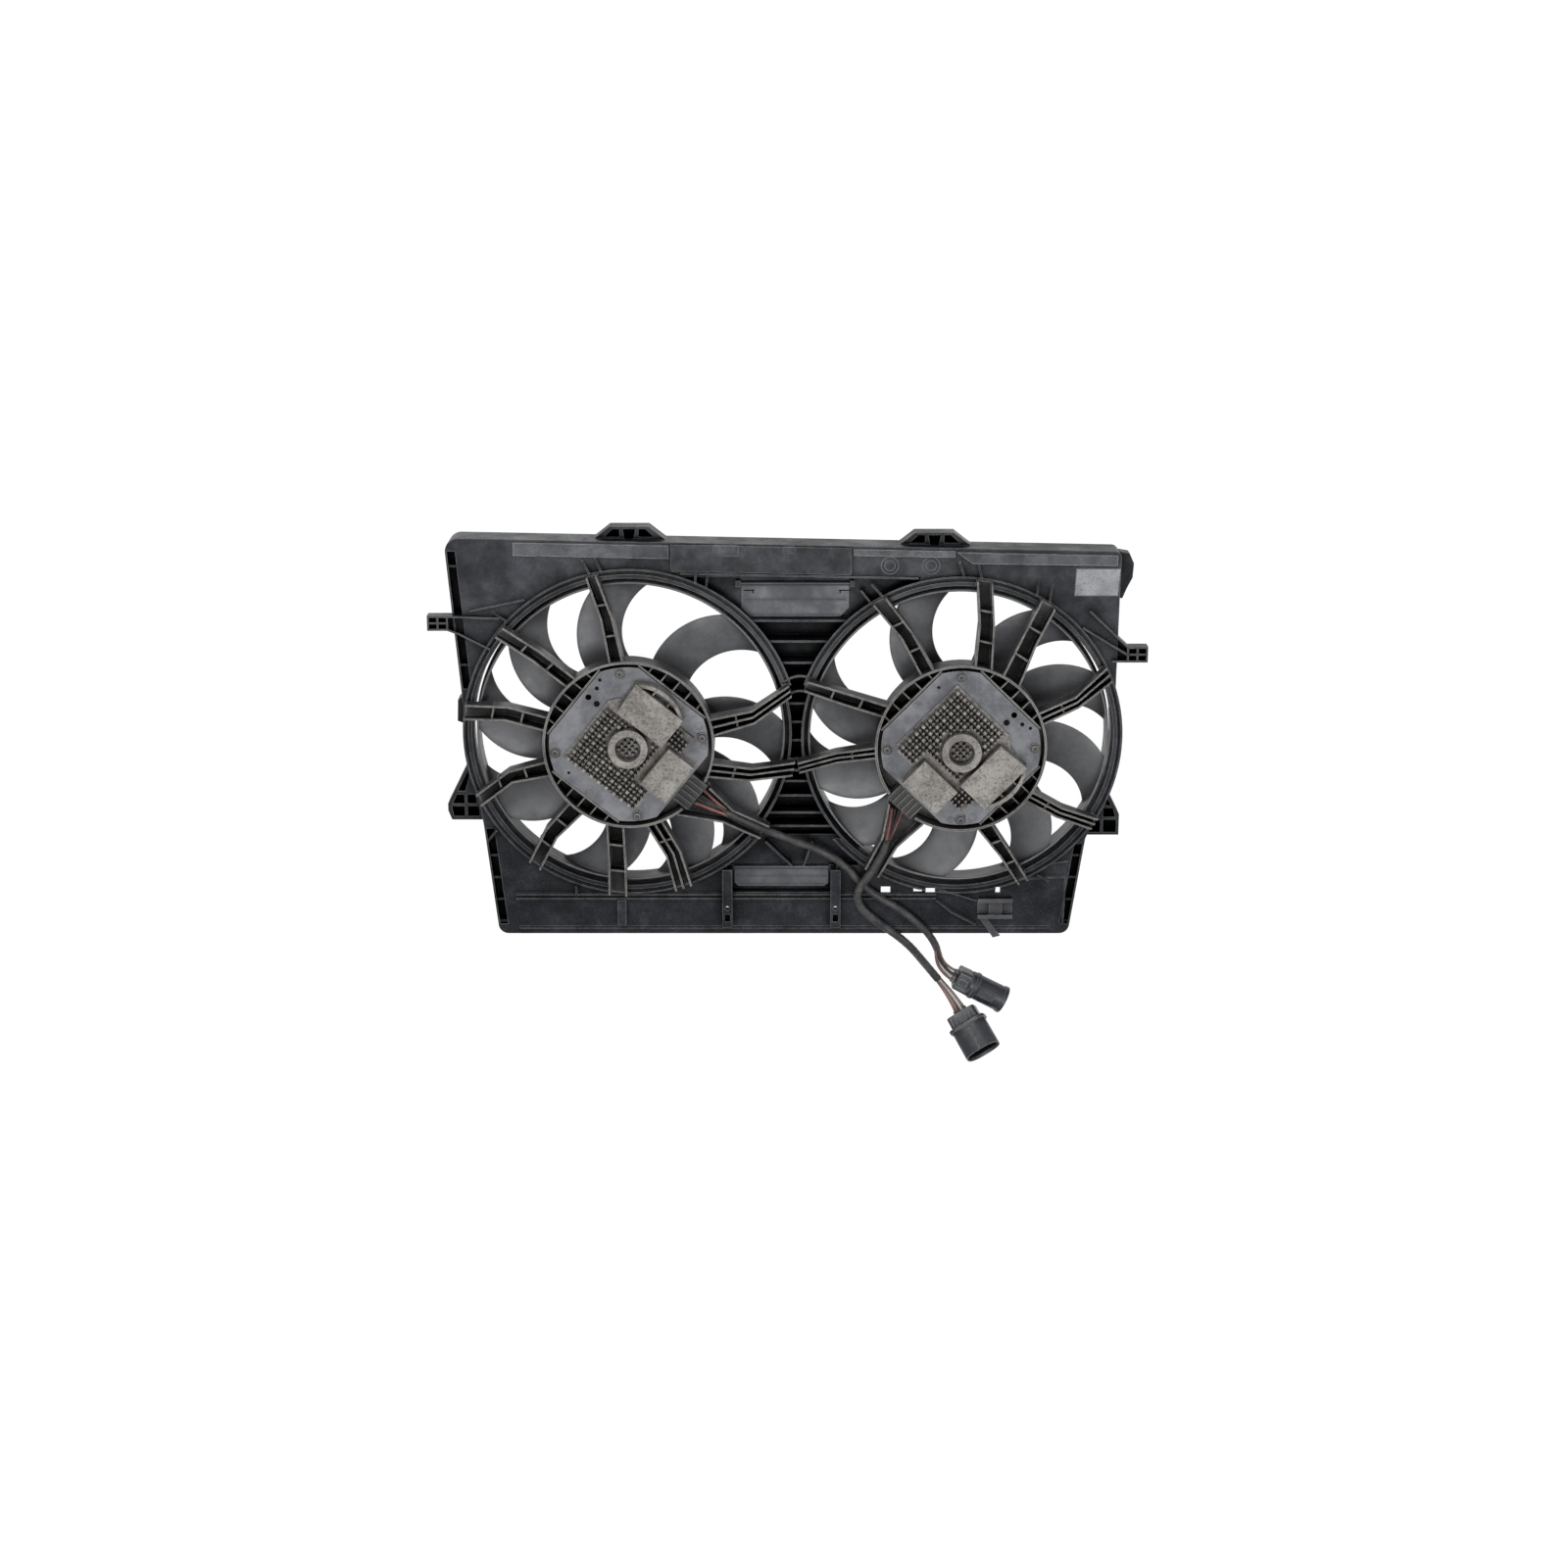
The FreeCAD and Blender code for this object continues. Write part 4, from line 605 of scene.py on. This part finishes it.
# The connectors are drawn with the mouth towards +X. A station is (x, half width, half height).
seal = {"stations": [(-4.6, 2.0, 2.0), (-4.0, 2.5, 2.5), (-3.0, 2.1, 2.1), (-2.0, 2.5, 2.5), (0.8, 2.5, 2.5)],
        "spread": 5.6}
roundConnector = {
    "entry": [(0.0, 10.6, 10.6), (0.6, 11.6, 11.6), (14.5, 12.0, 12.0), (15.5, 11.4, 11.4)],
    "barrel": [(15.0, 13.2, 13.2), (16.0, 14.2, 14.2), (20.0, 14.4, 14.4), (20.6, 15.2, 15.2),
               (24.0, 15.2, 15.2),
               (24.8, 14.1, 14.1), (54.0, 14.3, 14.3), (54.8, 15.2, 15.2), (58.4, 15.3, 15.3),
               (59.0, 14.8, 14.8),
               (59.0, 13.2, 13.2), (58.2, 12.9, 12.9), (31.0, 12.6, 12.6)],
    "post": [(30.0, 5.0, 5.0), (52.0, 5.0, 5.0), (53.0, 4.2, 4.2)],
    "lining": [(31.2, 12.5, 12.5), (54.0, 12.75, 12.75), (54.0, 12.5, 12.5), (31.7, 12.2, 12.2)],
    "rails": [(26, 46, -4.6, 4.6, 13.2, 15.6, 0.6), (27, 50, -1.0, 1.0, -15.2, -13.6, 0.3),
              (2, 13, -8.5, -6.5, 11.2, 12.0, 0.2), (2, 13, 6.5, 8.5, 11.2, 12.0, 0.2),
              (3, 12, -3.4, 3.4, 11.0, 12.0, 0.4)],
    "wires": 4,
}
ovalConnector = {
    "entry": [(0.0, 15.8, 9.8), (0.7, 16.8, 10.8), (14.0, 17.0, 11.0), (14.5, 16.6, 10.8)],
    "flange": [(13.6, 20.6, 12.7), (14.2, 21.5, 13.5), (17.4, 21.5, 13.5), (18.0, 20.7, 12.8)],
    "hood": [(17.0, 20.0, 12.2), (18.6, 20.0, 12.2), (48.6, 20.2, 12.3), (49.8, 20.0, 12.1),
             (49.8, 18.8, 10.9),
             (49.0, 18.4, 10.5), (27.0, 17.9, 10.0)],
    "carrier": [(25.5, 12.4, 3.0), (43.0, 12.4, 3.0), (44.0, 11.8, 2.4)],
    "lining": [(27.2, 17.8, 9.9), (46.6, 18.25, 10.35), (46.6, 17.95, 10.05), (27.7, 17.5, 9.6)],
    "rails": [(1.5, 13.5, y - 0.7, y + 0.7, 10.4, 11.0, 0.2) for y in (-13, -8, 8, 13)]
             + [(3, 12, -4.4, 4.4, 10.6, 11.0, 0.3), (19, 46, -1.2, 1.2, 11.6, 12.5, 0.3)],
    "slant": 0.17, "slantFrom": 27, "slantOver": 20, "wires": 5,
}


def superOval(half, height, power, count=56):
    # outline points (y, z): half * sign(cos) * |cos| ** (2 / power), height * sign(sin) * |sin| ** (2 / power)
    t = np.linspace(0, 2 * np.pi, count, endpoint=False)
    c, s = np.cos(t), np.sin(t)
    wide = half * np.sign(c) * np.abs(c) ** (2 / power)
    tall = height * np.sign(s) * np.abs(s) ** (2 / power)
    return np.stack([wide, tall], axis=1)


def loftPart(stations, power, count=56):
    # a ring at each station along X, closed at both ends
    rings = [np.column_stack([np.full(count, x), superOval(half, height, power, count)])
             for x, half, height in stations]
    faces = gridFaces(len(rings), count, wrapCols=True).tolist()
    faces += [list(range(count))[::-1], list(range((len(rings) - 1) * count, len(rings) * count))]
    return np.concatenate(rings), faces


def atConnector(parts, plug):
    # tilt about Y, turn about Z and move: the same three steps as the solids take
    points, faces = joinParts(parts)
    lift, turn = math.radians(plug["lift"]), math.radians(plug["turn"])
    tilt = np.array([[math.cos(lift), 0, -math.sin(lift)], [0, 1, 0], [math.sin(lift), 0, math.cos(lift)]])
    spin = np.array([[math.cos(turn), -math.sin(turn), 0], [math.sin(turn), math.cos(turn), 0], [0, 0, 1]])
    return points @ tilt.T @ spin.T + np.array(plug["place"]), faces


def makeConnector(name, plug, node, parts):
    piece = buildMesh(name, *atConnector(parts, plug), "connectorPlastic", "shroud", "connector_plastic",
                      sharp=0.55,
                      turnOutward=True)
    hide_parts(node)
    return piece


def makeSeals(name, plug, count):
    # one ribbed seal round each wire at the entry block, spread evenly along Y
    parts = []
    for index in range(count):
        points, faces = loftPart(seal["stations"], 2, 20)
        parts.append((points + np.array([0.0, (2 * index / (count - 1) - 1) * seal["spread"], 0.0]), faces))
    return buildMesh(name, *atConnector(parts, plug), "sealGrey", "shroud", "connector_plastic",
                     turnOutward=True)


def makeMouthShade(name, plug, part):
    # painted shade: a thin near-black shell just inside the mouth
    return buildMesh(name, *atConnector([part], plug), "deepBlack", "shroud", "connector_plastic",
                     turnOutward=True)


def makeRoundConnector():
    # square entry block with wire seals, ribbed barrel with a rim, key rail, contact post in the mouth
    shape = roundConnector
    parts = [loftPart(shape["entry"], 9), loftPart(shape["barrel"], 2), loftPart(shape["post"], 2.4, 28)]
    parts += [boxPart(*rail) for rail in shape["rails"]]
    return [makeConnector("roundConnectorBody", roundPlug, "round_connector", parts),
            makeSeals("roundConnectorSeals", roundPlug, shape["wires"]),
            makeMouthShade("roundConnectorMouth", roundPlug, loftPart(shape["lining"], 2))]


def slantMouth(part):
    # the mouth looks up a little: x falls with height, fully from slantOver past slantFrom
    points, faces = part
    share = np.clip((points[:, 0] - ovalConnector["slantFrom"]) / ovalConnector["slantOver"], 0, 1)
    points[:, 0] -= ovalConnector["slant"] * share * points[:, 2]
    return points, faces


def makeOvalConnector():
    # entry block, flange, oval hood with an open mouth and its contact carrier
    shape = ovalConnector
    parts = [loftPart(shape["entry"], 8), loftPart(shape["flange"], 5),
             slantMouth(loftPart(shape["hood"], 2.7, 72)),
             loftPart(shape["carrier"], 6, 40)]
    parts += [boxPart(*rail) for rail in shape["rails"]]
    return [makeConnector("ovalConnectorBody", ovalPlug, "oval_connector", parts),
            makeSeals("ovalConnectorSeals", ovalPlug, shape["wires"]),
            makeMouthShade("ovalConnectorMouth", ovalPlug, slantMouth(loftPart(shape["lining"], 2.7, 72)))]


connectors = {"left": makeRoundConnector(), "right": makeOvalConnector()}
print("connectors made")


# the wires lie side by side, spreading by fan towards the plugs, with a little sway up and down
wiring = {"step": 1.0, "core": 1.15, "skin": 0.35, "wrap": 0.07, "wrapPitch": 7.5, "wire": 1.6, "tucked": 6,
          "close": 1.9, "leadFan": 6.4, "tailFan": 3.6, "over": 1.6, "under": -1.2, "sway": 0.8}


def wireGroups(cable, total):
    # (group, start, end, finishes) of the wires at the motor and at the connector
    first, last = cable["bare"]
    return (("lead", 0.0, first + wiring["tucked"], cable["wires"]),
            ("tail", total - last - wiring["tucked"], total, cable["tail"]))


def makeCable(side, cable):
    # taped sheath with single wires fanned out at the motor and at the connector
    line = resample(routeLine(cable["route"]), wiring["step"])
    along = arcLength(line)
    total = along[-1]
    first, last = cable["bare"]
    inSheath = (along > first) & (along < total - last)
    wrap = wiring["wrap"] * np.sin(along * 2 * np.pi / wiring["wrapPitch"])     # overlapping turns of tape
    radii = np.where(inSheath, cable["radius"] - wiring["skin"] + wrap, wiring["core"])
    points, faces = tubePoints(line, radii, 18)
    sheath = buildMesh(side + "Sheath", points, faces, "cableSheath", "shroud", "cable_sheath")
    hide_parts(cable["node"])

    level, up = sideways(line)
    colours = {}
    for group, start, end, names in wireGroups(cable, total):
        part = (along >= start) & (along <= end)
        share = (along[part] - start) / (end - start)
        if group == "lead":
            share = 1 - share                      # 0 at the sheath's mouth, 1 at the plug
        count = len(names)
        for index, name in enumerate(names):
            place = (index - (count - 1) / 2) / ((count - 1) / 2)
            apart = place * (wiring["close"] + wiring[group + "Fan"] * share ** 1.3)
            lift = (wiring["over"] if index % 2 else wiring["under"]) * (1 - 0.4 * share)
            lift = lift + wiring["sway"] * np.sin(share * 5 + index * 2.1)
            path = line[part] + apart[:, None] * level[part] + lift[:, None] * up[part]
            colours.setdefault(name, []).append(tubePoints(path, np.full(len(path), wiring["wire"]), 12))
    for name, parts in colours.items():
        points, faces = joinParts(parts)
        buildMesh(side + name[0].upper() + name[1:], points, faces, name, "shroud",
                               "cable_sheath")


for side, cable in cables.items():
    makeCable(side, cable)
print("cables laid")


# leading, trailing: each edge's angle at root, middle and tip; left, right: each blade's direction
fan = {"skin": 2.5, "tipGap": 4.5, "lipGap": 1.9, "bandWall": 2.5, "bandLow": 12.0, "bandTop": 39.0,
       "bladeLow": 14.0, "bladeTop": 37.5, "thick": 2.4, "camber": 4.0, "lean": -24.4,
       "cupRadius": 72.0, "cupLow": 22.5, "cupTop": 47.0, "vent": 6.0,
       "leading": (-22.0, -11.2, -26.0), "trailing": (19.5, 13.5, -3.8),
       "left": (6, 54, 105, 144, 180, 217.5, 265, 302, 329),
       "right": (28, 62, 115.5, 170, 203, 232, 267, 311, 353)}


def arcThrough(a, b, c, count):
    # even points on the circle through a, b and c: centre + radius * (cos, sin) from a's angle past b's to c's
    a, b, c = (np.asarray(point, float) for point in (a, b, c))
    rows = 2 * np.array([b - a, c - a])
    centre = np.linalg.solve(rows, np.array([b @ b - a @ a, c @ c - a @ a]))
    angles = np.unwrap([math.atan2(*(point - centre)[::-1]) for point in (a, b, c)])
    t = np.linspace(angles[0], angles[2], count)
    return centre + np.linalg.norm(a - centre) * np.stack([np.cos(t), np.sin(t)], axis=1)


def heightOnArc(share, width, ends, rise):
    # height at share of a chord of that width, on the circle through both ends and a crown rise above its middle
    (u0, z0), (u1, z1) = (0.0, ends[0]), (width, ends[1])
    um, zm = width / 2, (ends[0] + ends[1]) / 2 + rise
    rows = 2 * np.array([[um - u0, zm - z0], [u1 - u0, z1 - z0]])
    target = np.array([um ** 2 + zm ** 2 - u0 ** 2 - z0 ** 2, u1 ** 2 + z1 ** 2 - u0 ** 2 - z0 ** 2])
    cu, cz = np.linalg.solve(rows, target)
    radius = math.hypot(cu, cz - z0)
    return cz + math.copysign(1, zm - cz) * np.sqrt(radius ** 2 - (share * width - cu) ** 2)


def bladePart(bandOuter, turn):
    # grid over radius r and share v between the edges' angles: (r cos, r sin, mid height +- half the thickness)
    root, tip = fan["cupRadius"] - 2 * fan["skin"], bandOuter + fan["skin"]
    radii = (root, (root + tip) / 2, tip)
    edges = [arcThrough(*[polarPoint((0, 0), radius, angle) for radius, angle in zip(radii, fan[edge])], 60)
             for edge in ("leading", "trailing")]
    corners = [polarPoint((0, 0), radius, angle)
               for edge in ("leading", "trailing") for radius, angle in zip(radii, fan[edge])]
    across = np.array(polarPoint((0, 0), 1.0, fan["lean"] + 90))
    spread = [np.dot(across, corner) for corner in corners]
    first, width = min(spread), max(spread) - min(spread)
    r = np.linspace(fan["cupRadius"] - fan["skin"] / 2, bandOuter - fan["bandWall"] / 2, 34)
    angles = [np.interp(r, np.linalg.norm(edge, axis=1), np.arctan2(edge[:, 1],
                                                                    edge[:, 0])) for edge in edges]
    v = 0.5 - 0.5 * np.cos(np.linspace(0, np.pi, 30))
    angle = angles[0][:, None] * (1 - v) + angles[1][:, None] * v
    x, y = r[:, None] * np.cos(angle), r[:, None] * np.sin(angle)
    share = (across[0] * x + across[1] * y - first) / width
    low, high, thick = fan["bladeLow"], fan["bladeTop"], fan["thick"]
    middle = (heightOnArc(share, width, (low + thick, high), fan["camber"])
              + heightOnArc(share, width, (low, high - thick), fan["camber"])) / 2
    half = thick / 2 * (1 - np.abs(2 * v - 1) ** 7) ** 0.5
    top, under = np.dstack([x, y, middle + half]), np.dstack([x, y, middle - half])[:, -2:0:-1]
    points = np.concatenate([top, under], axis=1)
    rings, around = points.shape[:2]
    spin = math.radians(turn)
    points = points.reshape(-1, 3) @ np.array([[math.cos(spin), math.sin(spin), 0],
                                               [-math.sin(spin), math.cos(spin), 0], [0, 0, 1]])
    faces = gridFaces(rings, around, wrapCols=True)[:, ::-1].tolist()
    return points, faces + [list(range(around)), list(range((rings - 1) * around, rings * around))[::-1]]


def ringPart(loop, sides):
    # closed loop of (radius, height) points swept round Z
    t = np.linspace(0, 2 * np.pi, sides, endpoint=False)
    loop = np.asarray(loop, float)
    points = np.stack([loop[:, 0, None] * np.cos(t), loop[:, 0, None] * np.sin(t),
                       np.repeat(loop[:, 1, None], sides, 1)], -1)
    return points.reshape(-1, 3), gridFaces(len(loop), sides, True, True)


def makeFan(side):
    # cup with a rounded rim, nine blades and the band with rounded lips
    outer = layout[side + "Opening"] - fan["tipGap"]
    inner, low, high = outer - fan["bandWall"], fan["bandLow"], fan["bandTop"]
    lip = layout[side + "Opening"] - fan["lipGap"]         # thin flange that keeps air from slipping back
    band = [(inner, low + 0.6), (inner, high - 0.8), (inner + 0.7, high), (outer - 0.7, high),
            (outer, high - 0.8),
            (outer, low + 4), (outer + 0.8, low + 2.4), (lip, low + 1.8), (lip, low + 0.3), (lip - 0.4, low),
            (inner + 0.6, low)]
    wall, base, rimTop, floor = fan["cupRadius"], fan["cupLow"], fan["cupTop"], fan["cupLow"] + fan["skin"]
    inside = wall - fan["skin"]
    cup = [(fan["vent"], base), (20, base), (21, base + 0.7), (24, base + 0.7), (25, base), (wall - 3, base),
           (wall - 1, base + 0.6), (wall, base + 3), (wall, rimTop - 0.7), (wall - 0.7, rimTop),
           (inside + 0.7, rimTop), (inside, rimTop - 0.7),
           (inside, floor + 2), (inside - 2, floor), (fan["vent"], floor)]
    parts = [ringPart(cup, 120), ringPart(band, 180)] + [bladePart(outer, turn) for turn in fan[side]]
    points, faces = joinParts(parts)
    centre = layout[side + "Centre"]
    piece = buildMesh(side + "FanWheel", points + np.array([centre[0], centre[1], 0]), faces, "fanPlastic",
                      side + "_fan_rotor", "fan_plastic", sharp=0.7, turnOutward=True)
    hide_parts(side + "_fan")


for side in ("left", "right"):
    makeFan(side)
print("fans made")


# Small parts on the motors, drawn with the plug towards +X. The pins stand at half the pitch of the cast ones.
motor = {"screwCircle": 77.0, "pinSize": 3.2, "pinPitch": 5.0, "pinTop": 103.0, "pinLow": 90.5,
         "pinTaper": 0.6,
         "columns": 19, "rows": 22, "firstX": -41.5, "firstY": -47.5, "ringOuter": 20.5, "ringInner": 12.5,
         "bossDrop": 4.0, "webTop": 92.5, "webPinTop": 101.5, "webFirst": (29.5, 31.0),
         "holes": ((-53, 14, 3.2), (-63, 27, 2.2), (-66, 36, 1.8), (-54, 52, 1.6), (50, 55, 2.0),
                   (58, -56, 1.8),
                   (-30, -63, 1.6)),
         "rims": ((-53, 14, 4.4), (44, 62, 4.0), (62, 48, 3.4), (-60, -50, 3.6), (0, -66, 3.0))}


def turned(points, centre, turn):
    # points turned by turn degrees and moved to a motor
    angle = math.radians(turn)
    spin = np.array([[math.cos(angle), -math.sin(angle), 0], [math.sin(angle), math.cos(angle), 0],
                     [0, 0, 1]])
    return np.asarray(points) @ spin.T + np.array([centre[0], centre[1], 0])


def lathe(profile, sides=24):
    # profile rows (radius, height) swept round Z, closed where the radius is 0
    t = np.linspace(0, 2 * np.pi, sides, endpoint=False)
    profile = np.asarray(profile, float)
    x = profile[:, 0, None] * np.cos(t)
    y = profile[:, 0, None] * np.sin(t)
    z = np.repeat(profile[:, 1, None], sides, axis=1)
    points = np.stack([x, y, z], axis=-1).reshape(-1, 3)
    faces = gridFaces(len(profile), sides, wrapCols=True)[:, ::-1].tolist()
    faces += [list(range(sides)), list(range((len(profile) - 1) * sides, len(profile) * sides))[::-1]]
    return points, faces


def onMotors(name, parts, finish, slotName):
    # the same small parts on both motors, as one piece
    points, faces = joinParts(parts)
    placed = [(turned(points, layout[side + "Centre"], layout[side + "Turn"]), faces) for side in ("left",
                                                                                                   "right")]
    return buildMesh(name, *joinParts(placed), finish, "shroud", slotName)


def makeScrews():
    # washer-head screws at the four corners of each cover plate
    plate = layout["plateTop"]
    profile = [(0.01, plate + 2.6), (1.7, plate + 2.5), (1.9, plate + 3.9), (3.4, plate + 3.7),
               (3.9, plate + 2.9),
               (4.0, plate + 1.3), (5.4, plate + 1.1), (5.6, plate + 0.6), (5.5, plate), (0.01, plate)]
    parts = []
    for corner in (45, 135, 225, 315):
        points, faces = lathe(profile, 20)
        x, y = polarPoint((0, 0), motor["screwCircle"], corner)
        parts.append((points + np.array([x, y, 0]), faces))
    onMotors("plateScrews", parts, "dullSteel", "shaft_steel")


def pinAt(x, y, low, high):
    half = motor["pinSize"] / 2
    return boxPart(x - half, x + half, y - half, y + half, low, high, motor["pinTaper"])


def makePins():
    # the rest of the pin field between the cast pins, and the round boss filled with shorter pins
    pitch, bossEdge = motor["pinPitch"], motor["ringInner"] - 2.0
    parts = []
    for column in range(motor["columns"]):
        for row in range(motor["rows"]):
            x, y = motor["firstX"] + column * pitch, motor["firstY"] + row * pitch
            inBoss = math.hypot(x, y) < bossEdge
            cast = column % 2 == 0 and row % 2 == 0 and not inBoss
            inside = (x < 46 and y < 22) or (x < -38 and y < 24)
            onPad = (x > 28 and y > -23) or (x > 40 and -49 < y < -40 and x - y > 92)
            onRing = bossEdge <= math.hypot(x, y) < motor["ringOuter"] + 2.4
            if inside and not (onPad or cast or onRing):
                top = motor["pinTop"] - (motor["bossDrop"] if inBoss else 0.0)
                parts.append(pinAt(x, y, motor["pinLow"], top))
    onMotors("coolingPins", parts, "dustyPins", "cast_aluminium")


def makeWeb():
    # low web between the two pads with a corner of pins on it
    low, (firstX, firstY), pitch = motor["webTop"], motor["webFirst"], motor["pinPitch"]
    parts = [boxPart(26.5, 48.0, 27.5, 50.0, layout["plateTop"], low, 0.8)]
    for column in range(4):
        parts += [pinAt(firstX + column * pitch, firstY + row * pitch, low - 0.5, motor["webPinTop"])
                  for row in range(4 - column // 2)]
    onMotors("pinnedWeb", parts, "dustyPins", "cast_aluminium")


def makePlateMarks():
    # painted shade: near-black discs on the cover plate where its blind holes lie in shade, and low rims round
    # its small bosses
    plate = layout["plateTop"]
    parts = []
    for x, y, radius in motor["holes"]:
        points, faces = lathe([(0.01, plate + 0.12), (radius, plate + 0.12), (radius, plate),
                               (0.01, plate)], 20)
        parts.append((points + np.array([x, y, 0]), faces))
    onMotors("plateHoles", parts, "deepBlack", "housing_plastic")
    parts = []
    for x, y, radius in motor["rims"]:
        points, faces = lathe([(radius - 1.1, plate), (radius - 1.1, plate + 0.7), (radius, plate + 0.7),
                               (radius + 0.3, plate)], 24)
        parts.append((points + np.array([x, y, 0]), faces[:-2]))
    onMotors("plateRims", parts, "housingPlastic", "housing_plastic")


makeScrews()
makePins()
makeWeb()
makePlateMarks()
print("motor details made")


# label and moulded marks on the frame, and painted shade for the slits in the upper flap's face
marks = {"label": [(298.5, 151.5), (344.5, 151.5), (347.0, 181.0), (300.0, 181.0)], "labelLift": 0.28,
         "labelThick": 0.2, "stamps": ((106.0, 184.0), (149.0, 184.0)), "stampRadii": (9.0, 5.4),
         "slits": ((-46.4, -35.4, -36.6), (53.4, 65.4, 54.6)), "slitLow": 26.6, "slitTop": 27.12}


def makeLabel():
    # bare pale sticker, slightly waved: z = top + 0.1 * sin(x / 9) * cos(y / 7)
    corners = np.array(marks["label"])
    u, v = np.meshgrid(np.linspace(0, 1, 40), np.linspace(0, 1, 26), indexing="ij")
    flat = ((1 - u) * (1 - v))[..., None] * corners[0] + (u * (1 - v))[..., None] * corners[1]
    flat = flat + (u * v)[..., None] * corners[2] + ((1 - u) * v)[..., None] * corners[3]
    wave = layout["panelTop"] + marks["labelLift"] + 0.1 * np.sin(flat[..., 0] / 9) * np.cos(flat[..., 1] / 7)
    points = np.dstack([flat, wave]).reshape(-1, 3)
    label = buildMesh("bareLabel", points, gridFaces(40, 26), "paleLabel", "shroud", "black_plastic")
    solid = label.modifiers.new("thickness", "SOLIDIFY")
    solid.thickness = marks["labelThick"] * mm


def makeMarks():
    # two plain round mould marks, each of two thin raised rings
    low, high = layout["panelTop"] - 0.1, layout["panelTop"] + 0.45
    parts = []
    for x, y in marks["stamps"]:
        for radius in marks["stampRadii"]:
            points, faces = lathe([(radius - 0.5, low), (radius - 0.4, high), (radius + 0.4, high),
                                   (radius + 0.5, low)], 40)
            parts.append((points + np.array([x, y, 0]), faces[:-2]))
    points, faces = joinParts(parts)
    buildMesh("mouldMarks", points, faces, "scuffedPlastic", "shroud", "black_plastic", turnOutward=True)


def makeSlitShade():
    # painted shade: thin near-black sheets for the slits in the upper flap's corners, a long one with a short
    # upright near its inner end
    low, top = marks["slitLow"], marks["slitTop"]
    parts = []
    for x0, x1, inner in marks["slits"]:
        parts += [boxPart(x0, x1, 154.9, 156.1, low, top),
                  boxPart(inner - 0.6, inner + 0.6, 152.2, 156.0, low, top)]
    buildMesh("hingeSlits", *joinParts(parts), "deepBlack", "upper_flap_body", "flap_rubber")


makeLabel()
makeMarks()
makeSlitShade()
print("frame details made")
